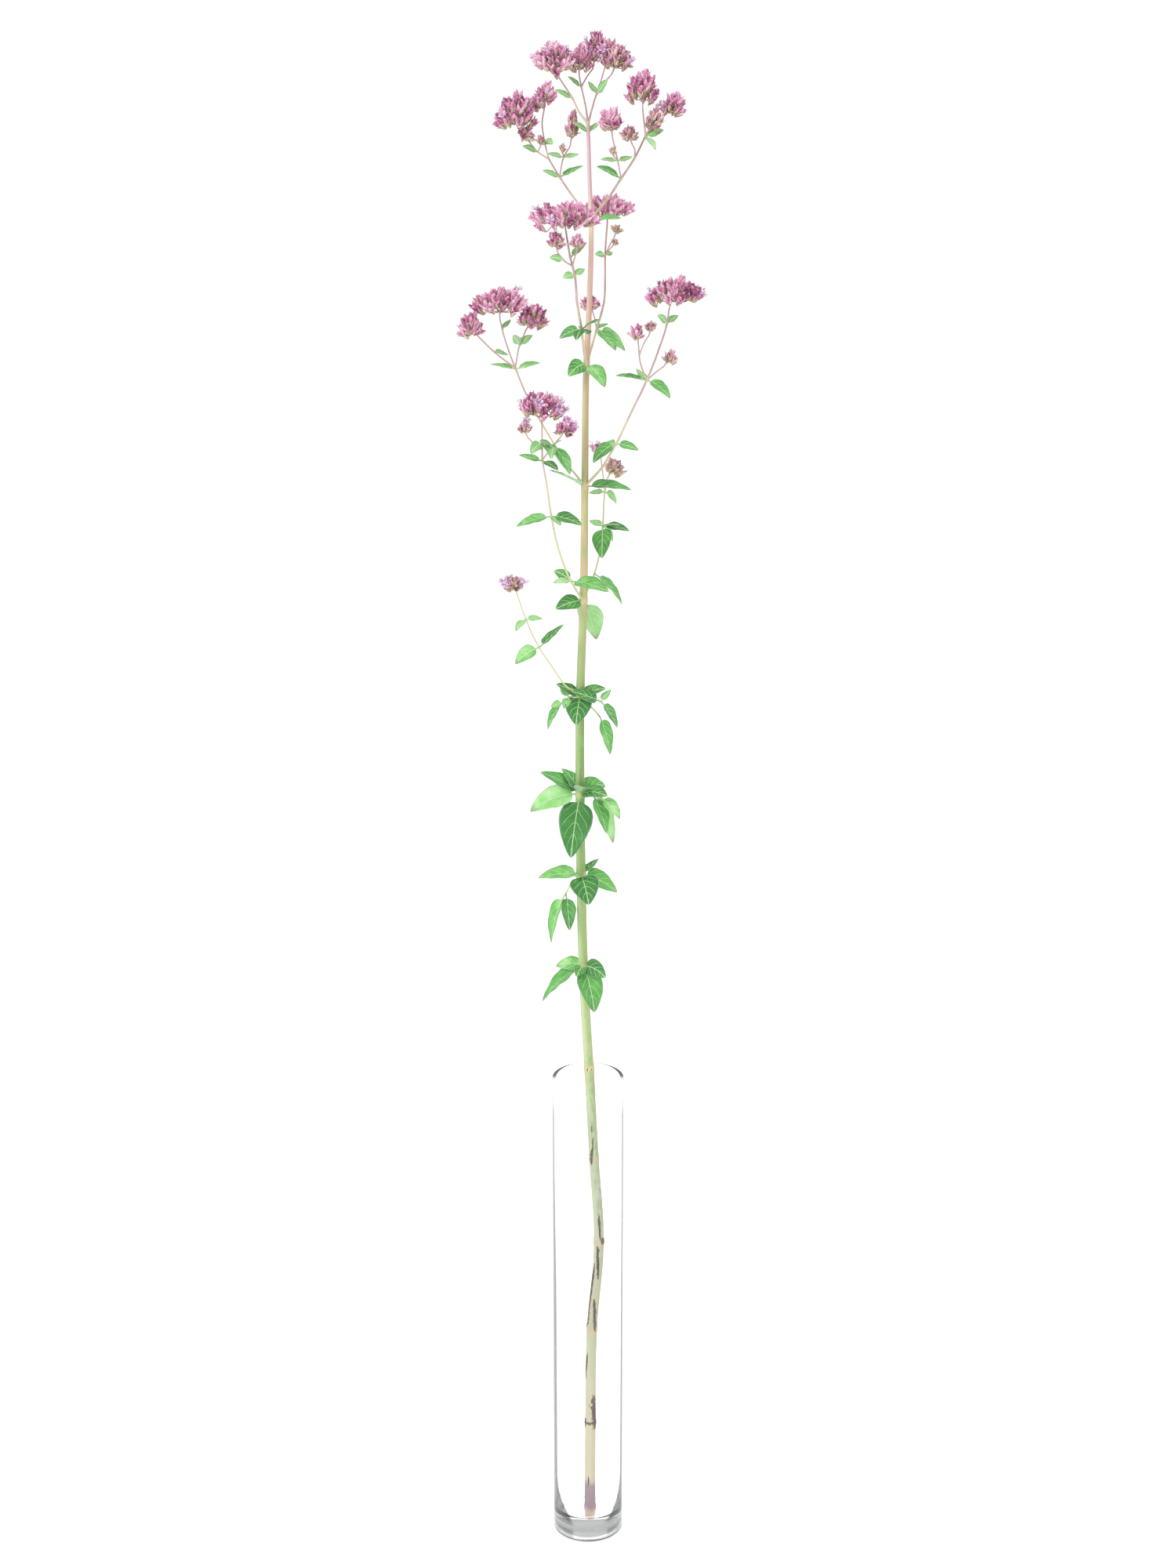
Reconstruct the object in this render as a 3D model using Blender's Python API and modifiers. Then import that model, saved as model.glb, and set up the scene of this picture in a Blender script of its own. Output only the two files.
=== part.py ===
"""A tall stem of ornamental oregano in flower, standing in a glass tube vase.

Metres, +Z up. The origin is the centre of the vase's underside, and the plant is seen from -Y.
Each leafy stem, each flower head and the vase is one named object.
"""

import math
import random

import bmesh
import bpy
from mathutils import Matrix, Vector

MM = 0.001
TOUCH_GAP = 0.3 * MM
SMOOTH_ANGLE = math.radians(40)

VASE_HEIGHT = 248 * MM
VASE_RADIUS = 17.5 * MM
VASE_WALL = 2.0 * MM
VASE_FLOOR = 10 * MM
VASE_FOOT_ROUND = 1.5 * MM
VASE_INNER_ROUND = 2.0 * MM
VASE_STEPS = 36

BLADE_THICKNESS = 0.6 * MM
BLADE_FOLD = 0.25
PETIOLE_SHARE = 0.14
PETIOLE_HALF_WIDTH = 0.45 * MM
PETIOLE_START = 0.2 * MM
STALK_SINK = 0.15 * MM
TIP_SINK = 0.5 * MM
TIP_HALF_WIDTH = 0.2 * MM
WIDE_BLADE_MM = 11.5
SMALL_LEAF_MM = 10
WIDE_SHARES = (0, 0.13, 0.21, 0.42, 0.72, 1)
SHARES = (0, 0.15, 0.38, 0.7, 1)
SMALL_SHARES = (0, 0.3, 0.62, 1)

JOINT_SWELLING = 1.22
JOINT_HALF_HEIGHT = 2.2 * MM
AXIL_RISE = 2.8 * MM

HEAD_DEPTH_SHARE = 0.8
FORK_SHARE = 0.3
FORK_RADIUS_SHARE = 0.24
LARGEST_FORK = 1.9 * MM
NECK_RADIUS = 0.4 * MM
SPIKELET_LENGTH = 6.5 * MM
SPIKELET_SPREAD = 0.42
LARGEST_SPIKELET = 2.2 * MM
UPRIGHT_SHARE = 0.4
GOLDEN_ANGLE = math.pi * (3 - math.sqrt(5))
SEED = 7

# The main stem: place in mm and radius in mm. Every joint of the stem is a point of the route.
MAIN_ROUTE = [
    (1, -11.8, 10.7, 2.4), (1, -11.2, 17, 2.4), (1.2, -6.8, 63, 2.35), (2, -2, 113, 2.3), (5.5, 3, 158, 2.25),
    (3, 8, 201, 2.2), (0.5, 12.5, 247, 2.1), (-1, 14, 272, 2.1), (-2.3, 16, 299, 2.1), (-3.4, 19, 345, 2.05),
    (-3.8, 21, 385, 1.95), (-3.7, 24, 433, 1.85), (-3, 25, 455, 1.75), (-2.2, 26, 479, 1.7), (-1.5, 28, 533, 1.5),
    (-0.7, 30, 590, 1.35), (0.4, 31, 613, 1.25), (1.4, 31.4, 655, 1.05), (0.7, 31.7, 673, 0.95), (0.1, 32, 694, 0.9),
    (0, 32, 697, 0.9),
]
MAIN_JOINTS = (1, 2, 3, 4, 5, 6, 8, 9, 10, 11, 13, 14, 15, 17)

# A stalk is (radius at its foot, radius at its tip, route in mm). A spray's first stalk, a, starts beside
# its joint of the main stem, so its route lists only what follows.
# A leaf is (stalk, point of its route, azimuth, pitch, length, width, sag, turn): degrees and mm.
# Azimuth 0 points right and 270 towards the viewer. Sag bends the blade down, and turn rolls it on its rib.
# A head is (centre in mm, half width, half height, spikelets, stalk that carries it).
PLANT = {
    "main_stem": {
        "stalks": {
            "shoot_2": (0.6, 0.45, [(-3.4, 19, 344), (-8, 17, 341), (-11, 15, 336)]),
            "shoot_3": (0.6, 0.45, [(-3.8, 21, 385), (2, 17, 386), (6, 15, 384)]),
            "shoot_4_left": (0.55, 0.4, [(-3.7, 24, 433), (-9, 21, 433), (-12.5, 19.5, 430.5)]),
            "shoot_4_right": (0.6, 0.4, [(-3.7, 24, 432), (2, 21, 433), (6.5, 20, 431)]),
            "shoot_4_low": (0.5, 0.4, [(-3.7, 24, 431), (2, 24, 427), (5.5, 24, 423)]),
        },
        "leaves": [
            ("main", 8, 170, -5, 14, 8, 50, 40), ("main", 8, 325, -15, 14, 9, 55, -60),
            ("main", 8, 295, -58, 24, 13.5, 40, 0), ("main", 8, 165, -45, 30, 15, 35, 20),
            ("main", 9, 180, -5, 21, 12, 25, 15), ("main", 9, 284, -34, 19, 14.5, 35, -10),
            ("main", 9, 12, -30, 21, 12, 30, -35), ("main", 9, 45, 25, 13, 7.5, 5, 10),
            ("shoot_2", 2, 285, -68, 18, 10, 25, 30), ("shoot_2", 2, 195, -74, 26, 13, 30, 5),
            ("main", 10, 172, 28, 22, 12.5, 25, 15), ("main", 10, 132, 38, 17, 9.5, 45, -5),
            ("main", 10, 188, -18, 26, 13, 45, 40), ("main", 10, 255, -58, 32, 16.5, 20, 15),
            ("main", 10, 45, 2, 18, 10, 60, -50),
            ("shoot_3", 1, 315, -62, 20, 11, 30, 10), ("shoot_3", 1, 5, -68, 27, 13.5, 25, -35),
            ("shoot_3", 2, 352, -45, 14, 8, 50, -30), ("shoot_3", 2, 60, 35, 6, 3.5, 10, 0),
            ("shoot_4_right", 2, 190, 22, 15, 8.5, 15, 35), ("main", 11, 262, -38, 18, 13, 45, 5),
            ("shoot_4_left", 2, 200, -15, 6, 4, 20, 60), ("shoot_4_left", 1, 250, -30, 8, 4.5, 30, 15),
            ("shoot_4_left", 2, 190, -62, 15, 8.5, 35, 10), ("shoot_4_left", 1, 130, 35, 8, 4.5, 10, 15),
            ("shoot_4_right", 2, 350, -58, 15, 8.5, 25, -15), ("shoot_4_right", 2, 40, 40, 8, 4.5, 10, -10),
            ("shoot_4_low", 2, 345, -74, 20, 11, 20, -15),
            ("main", 13, 215, -8, 16, 9, 30, 40), ("main", 13, 58, -62, 24, 12.5, 20, 15),
            ("main", 14, 214, 26, 22, 11, 15, 5), ("main", 14, 352, -3, 22, 12.5, 25, -10),
            ("main", 15, 230, -20, 14, 8, 50, 45), ("main", 15, 312, -38, 16, 9, 40, -10),
            ("main", 17, 335, 5, 15, 8.5, 12, -15), ("main", 17, 140, -18, 11, 6, 10, 30),
            ("main", 19, 205, 30, 9, 5, 20, 40), ("main", 19, 30, 38, 8, 4.5, 10, -10),
        ],
        "heads": {},
    },
    "spray_lower_left": {
        "joint": 11,
        "stalks": {"a": (0.55, 0.4, [(-9, 19, 438), (-17, 13, 450), (-23, 10, 460), (-29, 7, 474), (-33, 4, 487)])},
        "leaves": [
            ("a", 3, 205, -30, 14, 8, 35, 35), ("a", 3, 20, 40, 16, 9, 0, 0), ("a", 4, 225, -35, 8, 4.5, 45, 10),
            ("a", 4, 15, 0, 8, 4.5, 30, -25),
        ],
        "heads": {"head_lower_left": ((-35, 4, 493), 5, 4, 5, "a")},
    },
    "spray_lower_front": {
        "joint": 13,
        "stalks": {
            "a": (0.8, 0.55, [(-8, 18, 490), (-14, 14, 507), (-17, 11, 522), (-19, 8, 537), (-21, 6, 549)]),
            "b": (0.5, 0.4, [(-21, 6, 549), (-21, 5, 557), (-21, 4, 566)]),
            "c": (0.5, 0.4, [(-21, 6, 549), (-16, 3, 556), (-12, 1, 561)]),
            "d": (0.45, 0.4, [(-21, 5, 554), (-25, 5, 557), (-28, 5, 560)]),
        },
        "leaves": [
            ("a", 1, 155, 25, 10, 5.5, 40, 55), ("a", 1, 205, 0, 9, 5, 20, 25), ("a", 1, 328, -8, 21, 12, 25, -15),
            ("a", 3, 190, -15, 17, 9.5, 20, 15), ("a", 3, 350, -15, 15, 8.5, 35, -25), ("a", 3, 300, -20, 9, 5, 20, 5),
            ("a", 5, 180, 15, 11, 6, 10, 20), ("b", 1, 220, -35, 8, 5, 60, 45), ("c", 1, 322, -52, 16, 9, 40, 0),
            ("c", 1, 50, -55, 14, 8, 30, 5), ("c", 1, 265, -35, 9, 5, 50, -20),
        ],
        "heads": {
            "head_lower_front": ((-21, 3, 576), 11, 7, 11, "b"),
            "head_lower_front_side": ((-29, 5, 565), 3.2, 3.6, 3, "d"),
            "head_lower_front_right": ((-10, 0, 566), 5.4, 4.7, 5, "c"),
        },
    },
    "spray_lower_rear": {
        "joint": 13,
        "stalks": {
            "a": (0.6, 0.45, [(3, 35, 490), (6, 38, 502), (7, 40, 512), (8, 43, 528), (9, 44, 534)]),
            "b": (0.45, 0.4, [(8, 43, 528), (7, 42.5, 537), (6, 42, 545)]),
        },
        "leaves": [
            ("a", 3, 268, -48, 18, 10, 40, -15), ("a", 3, 145, 15, 8, 4.5, 20, 25), ("a", 3, 50, -50, 12, 6.5, 50, -65),
            ("a", 4, 165, -5, 8, 4.5, 10, 25), ("a", 4, 30, -45, 9, 5, 50, -55), ("a", 1, 352, -48, 20, 11, 40, -5),
        ],
        "heads": {
            "head_lower_rear": ((6, 42, 550), 4.3, 3, 3, "b"),
            "head_lower_rear_side": ((13, 47, 541), 5, 5, 4, "a"),
        },
    },
    "spray_left": {
        "joint": 14,
        "stalks": {
            "a": (0.8, 0.5, [(-10, 33, 543), (-19, 36, 557), (-29, 38, 575), (-34, 39, 587)]),
            "b": (0.5, 0.4, [(-34, 39, 587), (-44, 37, 595), (-51, 36, 602)]),
            "c": (0.5, 0.4, [(-34, 39, 587), (-37, 40, 595), (-40, 40, 605), (-41, 40, 610)]),
            "d": (0.45, 0.4, [(-34, 39, 587), (-32, 43, 597), (-29, 45, 604)]),
        },
        "leaves": [
            ("a", 4, 170, 10, 12, 6.5, 10, 10), ("a", 4, 350, 15, 12, 6.5, 15, -20), ("b", 1, 30, -15, 8, 4.5, 10, -30),
            ("c", 2, 50, 35, 7, 4, 0, 0), ("d", 1, 230, 50, 7, 4, 30, -50), ("d", 1, 25, 35, 8, 4.5, 30, -35),
        ],
        "heads": {
            "head_left": ((-41, 40, 619), 14.5, 7, 15, "c"),
            "head_left_outer": ((-55, 36, 607), 6.5, 7, 7, "b"),
            "head_left_inner": ((-25, 46, 611), 7.6, 7, 8, "d"),
        },
    },
    "spray_right": {
        "joint": 14,
        "stalks": {
            "a": (0.8, 0.5, [(6, 24, 542), (13, 22, 554), (20, 20, 569), (27, 18, 584), (32, 17, 597),
                             (36, 16, 610), (37, 16, 617)]),
            "b": (0.45, 0.4, [(27, 18, 584), (24, 17, 592), (23, 16, 601)]),
            "c": (0.45, 0.4, [(23.6, 16.4, 596), (26, 15, 602), (28, 15, 605)]),
            "d": (0.45, 0.4, [(27, 18, 584), (32, 20, 588), (35, 21, 590)]),
        },
        "leaves": [
            ("a", 4, 195, 10, 15, 8.5, 10, 10), ("a", 4, 340, -35, 14, 8, 40, -20), ("a", 4, 125, 30, 9, 5, 0, -5),
            ("a", 6, 220, 35, 7, 4, 40, 75), ("a", 6, 30, 30, 7, 4, 30, -30), ("a", 2, 195, -38, 14, 8, 45, 30),
            ("a", 2, 350, -15, 11, 6, 30, -30), ("a", 2, 130, -5, 8, 4.5, 10, 45),
        ],
        "heads": {
            "head_right": ((40, 16, 626), 13.5, 6.5, 14, "a"),
            "head_right_small": ((22, 16, 607), 3.6, 4.7, 3, "b"),
            "head_right_bud": ((28.5, 15, 609.5), 2.5, 3.4, 3, "c"),
            "head_right_side": ((38, 21.5, 595), 3.4, 4.2, 3, "d"),
        },
    },
    "spray_middle_front": {
        "joint": 15,
        "stalks": {
            "a": (0.9, 0.5, [(-3, 20, 607), (-5, 16, 620), (-6, 13, 632), (-8, 12, 640), (-10, 11, 652)]),
            "b": (0.45, 0.4, [(-7, 12.5, 636), (-11, 9, 639), (-14, 8, 643)]),
            "c": (0.45, 0.4, [(-7, 12.5, 636), (-6, 9, 640), (-5, 8, 643)]),
        },
        "leaves": [
            ("a", 1, 190, -22, 11, 6, 35, 45), ("a", 1, 255, -25, 10, 5.5, 40, -5), ("a", 3, 220, -8, 7, 4, 30, 55),
            ("a", 3, 35, 25, 6, 3.5, 20, -45), ("b", 1, 205, 10, 7, 4, 30, 65), ("a", 4, 20, 40, 10, 5.5, 0, -15),
        ],
        "heads": {
            "head_middle_front": ((-11, 10, 660), 16, 6.5, 16, "a"),
            "head_middle_front_low": ((-14, 8, 649), 4.3, 5, 5, "b"),
            "head_middle_front_side": ((-5, 8, 648), 3.2, 3.8, 3, "c"),
        },
    },
    "spray_middle_rear": {
        "joint": 15,
        "stalks": {
            "a": (0.8, 0.5, [(4, 40, 605), (7.5, 46.5, 617), (8, 50, 629), (8, 52, 638), (9, 54, 653)]),
            "b": (0.45, 0.4, [(4, 40, 605), (3, 42.5, 610), (2, 44, 613)]),
        },
        "leaves": [
            ("a", 1, 318, -38, 15, 8.5, 30, -5), ("a", 1, 8, -38, 17, 9.5, 25, -35), ("a", 1, 60, 10, 10, 5.5, 10, 0),
            ("a", 4, 220, 5, 6, 3.5, 10, 60), ("a", 4, 45, 10, 5, 3, 10, -45),
        ],
        "heads": {
            "head_middle_rear": ((9, 56, 661), 13.5, 5.8, 13, "a"),
            "head_middle_rear_low": ((1, 44.5, 618), 4.8, 4.5, 5, "b"),
        },
    },
    "spray_upper_left": {
        "joint": 17,
        "stalks": {
            "a": (0.8, 0.5, [(-5, 36, 663), (-13, 39, 674), (-18, 41, 682)]),
            "b": (0.45, 0.4, [(-18, 41, 682), (-23, 42, 685), (-28, 43, 691), (-31, 43, 695)]),
            "c": (0.45, 0.4, [(-18, 41, 682), (-20, 46, 690), (-21, 48, 698), (-20, 49, 704)]),
            "d": (0.45, 0.4, [(-13, 39, 674), (-11, 37, 683), (-8, 36, 688)]),
        },
        "leaves": [
            ("a", 2, 205, 20, 9, 5, 10, 35), ("a", 2, 10, 25, 12, 6.5, 5, -15), ("b", 1, 205, 20, 8, 4.5, 20, 45),
            ("c", 1, 310, -15, 6, 4, 30, -45), ("d", 1, 195, 12, 8, 4.5, 0, 30), ("d", 1, 15, 10, 7, 4, 0, -30),
        ],
        "heads": {
            "head_upper_left": ((-33, 43, 704), 10.8, 9.5, 12, "b"),
            "head_upper_left_inner": ((-19, 49, 712), 5.4, 5, 5, "c"),
            "head_upper_left_narrow": ((-7, 36, 698), 3.2, 7.6, 6, "d"),
        },
    },
    "spray_upper_right": {
        "joint": 17,
        "stalks": {
            "a": (0.9, 0.55, [(9, 27, 665), (15, 25, 674), (21, 24, 683), (26, 23, 693)]),
            "b": (0.45, 0.4, [(15, 25, 674), (13.4, 22, 682), (11, 21, 692)]),
            "c": (0.5, 0.4, [(26, 23, 693), (25, 23, 700), (24.5, 23, 705)]),
            "d": (0.5, 0.4, [(26, 23, 693), (30, 25, 698), (34, 27, 701)]),
            "e": (0.45, 0.4, [(21, 24, 683), (21, 20, 687), (19.5, 18, 690)]),
        },
        "leaves": [
            ("a", 2, 200, 25, 13, 7.5, 20, 30), ("b", 1, 195, 5, 8, 4.5, 0, 25), ("b", 1, 15, 15, 7, 4, 0, -30),
            ("a", 4, 15, 18, 9, 5, 20, -45), ("a", 4, 310, -40, 9, 5, 30, 5),
        ],
        "heads": {
            "head_upper_right": ((24.5, 23, 715), 8, 7.5, 9, "c"),
            "head_upper_right_outer": ((39, 28, 707), 6.2, 7, 7, "d"),
            "head_upper_right_inner": ((10, 21, 701), 5.4, 6, 5, "b"),
            "head_upper_right_low": ((18, 18, 695), 4.3, 4.5, 4, "e"),
        },
    },
    "spray_top": {
        "stalks": {
            "a": (0.6, 0.45, [(0, 32, 697.8), (-4, 30.4, 703), (-7, 29, 709), (-13, 28, 718)]),
            "b": (0.6, 0.45, [(0, 32, 697.8), (-1, 33, 705), (-3, 34, 714), (-4, 34, 719)]),
            "c": (0.6, 0.45, [(0, 32, 697.8), (2, 33, 705), (4, 33, 711), (11, 30, 720)]),
            "d": (0.45, 0.4, [(-3, 34, 714), (0, 36.5, 719), (2.4, 38, 722)]),
        },
        "leaves": [
            ("a", 2, 195, 25, 9, 5, 10, 35), ("b", 2, 205, 35, 8, 4.5, 0, 40), ("c", 2, 320, 45, 9, 5, 0, -70),
            ("c", 2, 150, 52, 7, 4, 0, 15),
        ],
        "heads": {
            "head_top_left": ((-16, 27, 728), 9.7, 9.7, 11, "a"),
            "head_top_middle": ((-4, 33, 727), 6.4, 7.4, 7, "b"),
            "head_top_rear": ((3.5, 39, 732), 6.5, 7.9, 8, "d"),
            "head_top_right": ((14, 28.5, 728), 7, 8, 9, "c"),
        },
    },
}


def clear_scene():
    for obj in list(bpy.data.objects):
        bpy.data.objects.remove(obj)


def new_collection(name):
    collection = bpy.data.collections.new(name)
    bpy.context.scene.collection.children.link(collection)
    return collection


def plain_material(name, colour, roughness, transmission=0.0):
    material = bpy.data.materials.new(name)
    material.use_nodes = True
    shader = material.node_tree.nodes["Principled BSDF"]
    shader.inputs["Base Color"].default_value = (*colour, 1)
    shader.inputs["Roughness"].default_value = roughness
    shader.inputs["Transmission Weight"].default_value = transmission
    return material


def add_object(name, mesh, collection):
    obj = bpy.data.objects.new(name, mesh)
    collection.objects.link(obj)
    return obj


def evaluated_mesh(obj):
    """The object's mesh with its modifiers applied, and its doubled points merged."""
    graph = bpy.context.evaluated_depsgraph_get()
    mesh = bpy.data.meshes.new_from_object(obj.evaluated_get(graph))
    work = bmesh.new()
    work.from_mesh(mesh)
    bmesh.ops.remove_doubles(work, verts=work.verts, dist=1e-6)
    work.to_mesh(mesh)
    work.free()
    return mesh


def mesh_from(work, name):
    mesh = bpy.data.meshes.new(name)
    work.to_mesh(mesh)
    work.free()
    return mesh


def arc(centre_r, centre_z, radius, start, end, steps=2):
    """Points of a profile's round stretch, from one angle to another in degrees."""
    angles = [math.radians(start + (end - start) * i / steps) for i in range(steps + 1)]
    return [(centre_r + radius * math.cos(a), centre_z + radius * math.sin(a)) for a in angles]


def vase_profile():
    """Half section of the vase: down the outside, under the foot, up the axis, out and up the inside."""
    lip = VASE_WALL / 2
    inner = VASE_RADIUS - VASE_WALL
    outside = arc(VASE_RADIUS - lip, VASE_HEIGHT - lip, lip, 90, 0)
    foot = arc(VASE_RADIUS - VASE_FOOT_ROUND, VASE_FOOT_ROUND, VASE_FOOT_ROUND, 0, -90)
    hollow_round = arc(inner - VASE_INNER_ROUND, VASE_FLOOR + VASE_INNER_ROUND, VASE_INNER_ROUND, -90, 0)
    inside_lip = arc(VASE_RADIUS - lip, VASE_HEIGHT - lip, lip, 180, 90)[:-1]
    return outside + foot + [(0, 0), (0, VASE_FLOOR)] + hollow_round + inside_lip


def build_vase(collection):
    points = vase_profile()
    mesh = bpy.data.meshes.new("vase")
    loop = [(i, (i + 1) % len(points)) for i in range(len(points))]
    axis_edge = next(i for i, (r, _) in enumerate(points) if r == 0)
    loop.remove((axis_edge, axis_edge + 1))
    mesh.from_pydata([(r, 0, z) for r, z in points], loop, [])
    vase = add_object("vase", mesh, collection)
    screw = vase.modifiers.new("Turned", "SCREW")
    screw.steps = screw.render_steps = VASE_STEPS
    screw.use_merge_vertices = True
    screw.merge_threshold = 0.00001
    screw.use_smooth_shade = True
    return vase


def tube(name, points, radii, sides_level, collection):
    """A stem as a mesh: a curve through the points, with a radius of its own at each."""
    curve = bpy.data.curves.new(name, "CURVE")
    curve.dimensions = "3D"
    curve.bevel_depth = 1.0
    curve.bevel_resolution = sides_level
    curve.use_fill_caps = True
    spline = curve.splines.new("POLY")
    spline.points.add(len(points) - 1)
    for knot, place, radius in zip(spline.points, points, radii):
        knot.co = (*place, 1)
        knot.radius = radius
    guide = add_object(name, curve, collection)
    mesh = evaluated_mesh(guide)
    bpy.data.objects.remove(guide)
    return add_object(name, mesh, collection)


def half_width(share, width):
    """Half the blade's width at a share of its length: a petiole, then an egg-shaped outline to a point."""
    if share <= PETIOLE_SHARE:
        return PETIOLE_HALF_WIDTH
    along = (share - PETIOLE_SHARE) / (1 - PETIOLE_SHARE)
    outline = width / 2 * math.sin(math.pi * along**0.58) ** 0.85
    return max(outline, TIP_HALF_WIDTH)


def blade_course(foot, azimuth, pitch, length, sag, turn, shares):
    """The rib's point, the direction across the blade and the upper face's normal, at each share of the length."""
    heading = math.radians(azimuth)
    roll = math.radians(turn)
    level_side = Vector((math.sin(heading), -math.cos(heading), 0))
    course = []
    place = foot + Vector((math.cos(heading), math.sin(heading), 0)) * PETIOLE_START
    previous = 0
    for share in shares:
        rise = math.radians(pitch + sag * (0.5 - (share + previous) / 2))
        along = Vector((math.cos(rise) * math.cos(heading), math.cos(rise) * math.sin(heading), math.sin(rise)))
        place = place + along * (share - previous) * length
        side = level_side * math.cos(roll) + level_side.cross(along) * math.sin(roll)
        course.append((place, side, side.cross(along)))
        previous = share
    return course


def blade(name, foot, leaf, collection):
    """A leaf: a grid bent along its rib, a wide one folded a little along it, and given its thickness."""
    _, _, azimuth, pitch, length, width, sag, turn = leaf
    wide = width > WIDE_BLADE_MM
    shares = WIDE_SHARES if wide else SMALL_SHARES if length < SMALL_LEAF_MM else SHARES
    rows = len(shares) - 1
    course = blade_course(foot, azimuth, pitch, length * MM, sag, turn, shares)
    work = bmesh.new()
    bmesh.ops.create_grid(work, x_segments=2 if wide else 1, y_segments=rows, size=1)
    for vert in work.verts:
        row = round((vert.co.y + 1) / 2 * rows)
        place, side, normal = course[row]
        reach = vert.co.x * half_width(shares[row], width * MM)
        vert.co = place + side * reach + normal * abs(reach) * BLADE_FOLD
    bmesh.ops.triangulate(work, faces=work.faces)
    obj = add_object(name, mesh_from(work, name), collection)
    wall = obj.modifiers.new("Thickness", "SOLIDIFY")
    wall.thickness = BLADE_THICKNESS
    wall.offset = 0
    solid = evaluated_mesh(obj)
    bpy.data.objects.remove(obj)
    return add_object(name, solid, collection)


def spikelet(name, fork, tip, length, radius, collection):
    """A spikelet on its thin ray: square in section, widest below its middle, with four pointed bracts."""
    along = ((tip - fork).normalized() * (1 - UPRIGHT_SHARE) + Vector((0, 0, UPRIGHT_SHARE))).normalized()
    turn = along.to_track_quat("Z", "Y")
    base = tip - along * length
    work = bmesh.new()

    def ring(height, reach, quarter):
        angles = [math.pi / 2 * (i + quarter) for i in range(4)]
        corners = [Vector((math.cos(a) * reach, math.sin(a) * reach, height)) for a in angles]
        return [work.verts.new(base + turn @ corner) for corner in corners]

    root = work.verts.new(fork)
    foot = ring(0, min(NECK_RADIUS, radius * 0.4), 0)
    belly = ring(length * 0.45, radius, 0)
    points = ring(length, radius * 0.75, 0.5)
    middle = work.verts.new(base + turn @ Vector((0, 0, length * 0.66)))
    for i in range(4):
        j = (i + 1) % 4
        work.faces.new((root, foot[j], foot[i]))
        work.faces.new((foot[i], foot[j], belly[j]))
        work.faces.new((foot[i], belly[j], belly[i]))
        work.faces.new((belly[i], belly[j], points[i]))
        work.faces.new((points[i], belly[j], middle))
        work.faces.new((belly[j], points[j], middle))
    bmesh.ops.recalc_face_normals(work, faces=work.faces)
    return add_object(name, mesh_from(work, name), collection)


def fuse(name, first, pieces, collection, material):
    """One solid of all the pieces: a Boolean union on their collection, applied."""
    union = first.modifiers.new("Union", "BOOLEAN")
    union.operation = "UNION"
    union.operand_type = "COLLECTION"
    union.collection = pieces
    union.solver = "EXACT"
    mesh = evaluated_mesh(first)
    for obj in [first, *pieces.objects]:
        bpy.data.objects.remove(obj)
    bpy.data.collections.remove(pieces)
    solid = add_object(name, mesh, collection)
    mesh.materials.clear()
    mesh.materials.append(material)
    mesh.shade_smooth()
    mesh.set_sharp_from_angle(angle=SMOOTH_ANGLE)
    return solid


def main_stem_course():
    """Points and radii of the main stem, with a swelling at each joint."""
    points, radii = [], []
    for i, (x, y, z, radius) in enumerate(MAIN_ROUTE):
        centre = Vector((x, y, z)) * MM
        if i not in MAIN_JOINTS:
            points.append(centre)
            radii.append(radius * MM)
            continue
        before = Vector(MAIN_ROUTE[i - 1][:3]) * MM
        after = Vector(MAIN_ROUTE[i + 1][:3]) * MM
        down = (before - centre).normalized() * JOINT_HALF_HEIGHT
        up = (after - centre).normalized() * JOINT_HALF_HEIGHT
        points += [centre + down, centre, centre + up]
        radii += [radius * MM, radius * MM * JOINT_SWELLING, radius * MM]
    return points, radii


def spray_foot(joint, towards, stalk_radius):
    """Where a spray starts: in the axil above a joint, just clear of the main stem."""
    x, y, z, stem_radius = MAIN_ROUTE[joint]
    centre = Vector((x, y, z)) * MM
    outward = (towards - centre) * Vector((1, 1, 0))
    clear = (stem_radius + stalk_radius) * MM + TOUCH_GAP
    return centre + outward.normalized() * clear + Vector((0, 0, AXIL_RISE))


def stalk_courses(spec):
    """The route of each stalk of a leafy stem, in metres."""
    courses = {key: [Vector(p) * MM for p in route] for key, (_, _, route) in spec["stalks"].items()}
    if "joint" in spec:
        courses["a"].insert(0, spray_foot(spec["joint"], courses["a"][0], spec["stalks"]["a"][0]))
    return courses


def leaf_foot(course, index):
    """Where a leaf starts: on its stalk's axis, and a little way back from the stalk's tip."""
    if index < len(course) - 1:
        return course[index]
    return course[-1] - (course[-1] - course[-2]).normalized() * TIP_SINK


def build_leafy_stem(name, spec, collection, material):
    """A stem with its side stalks and leaves, all one solid."""
    pieces = new_collection(name + "_pieces")
    courses = stalk_courses(spec)
    trunk = None
    if name == "main_stem":
        points, radii = main_stem_course()
        trunk = tube(name + "_trunk", points, radii, 2, collection)
        courses["main"] = [Vector(p[:3]) * MM for p in MAIN_ROUTE]
    for key, (thick, thin, _) in spec["stalks"].items():
        start, after, *rest = courses[key]
        if trunk:
            start = start - (after - start).normalized() * STALK_SINK
        last = len(rest) + 1
        radii = [(thick + (thin - thick) * i / last) * MM for i in range(last + 1)]
        stalk = tube(f"{name}_{key}", [start, after, *rest], radii, 0, pieces if trunk else collection)
        trunk = trunk or stalk
    for i, leaf in enumerate(spec["leaves"]):
        blade(f"{name}_leaf_{i}", leaf_foot(courses[leaf[0]], leaf[1]), leaf, pieces)
    return fuse(name, trunk, pieces, collection, material)


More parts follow.
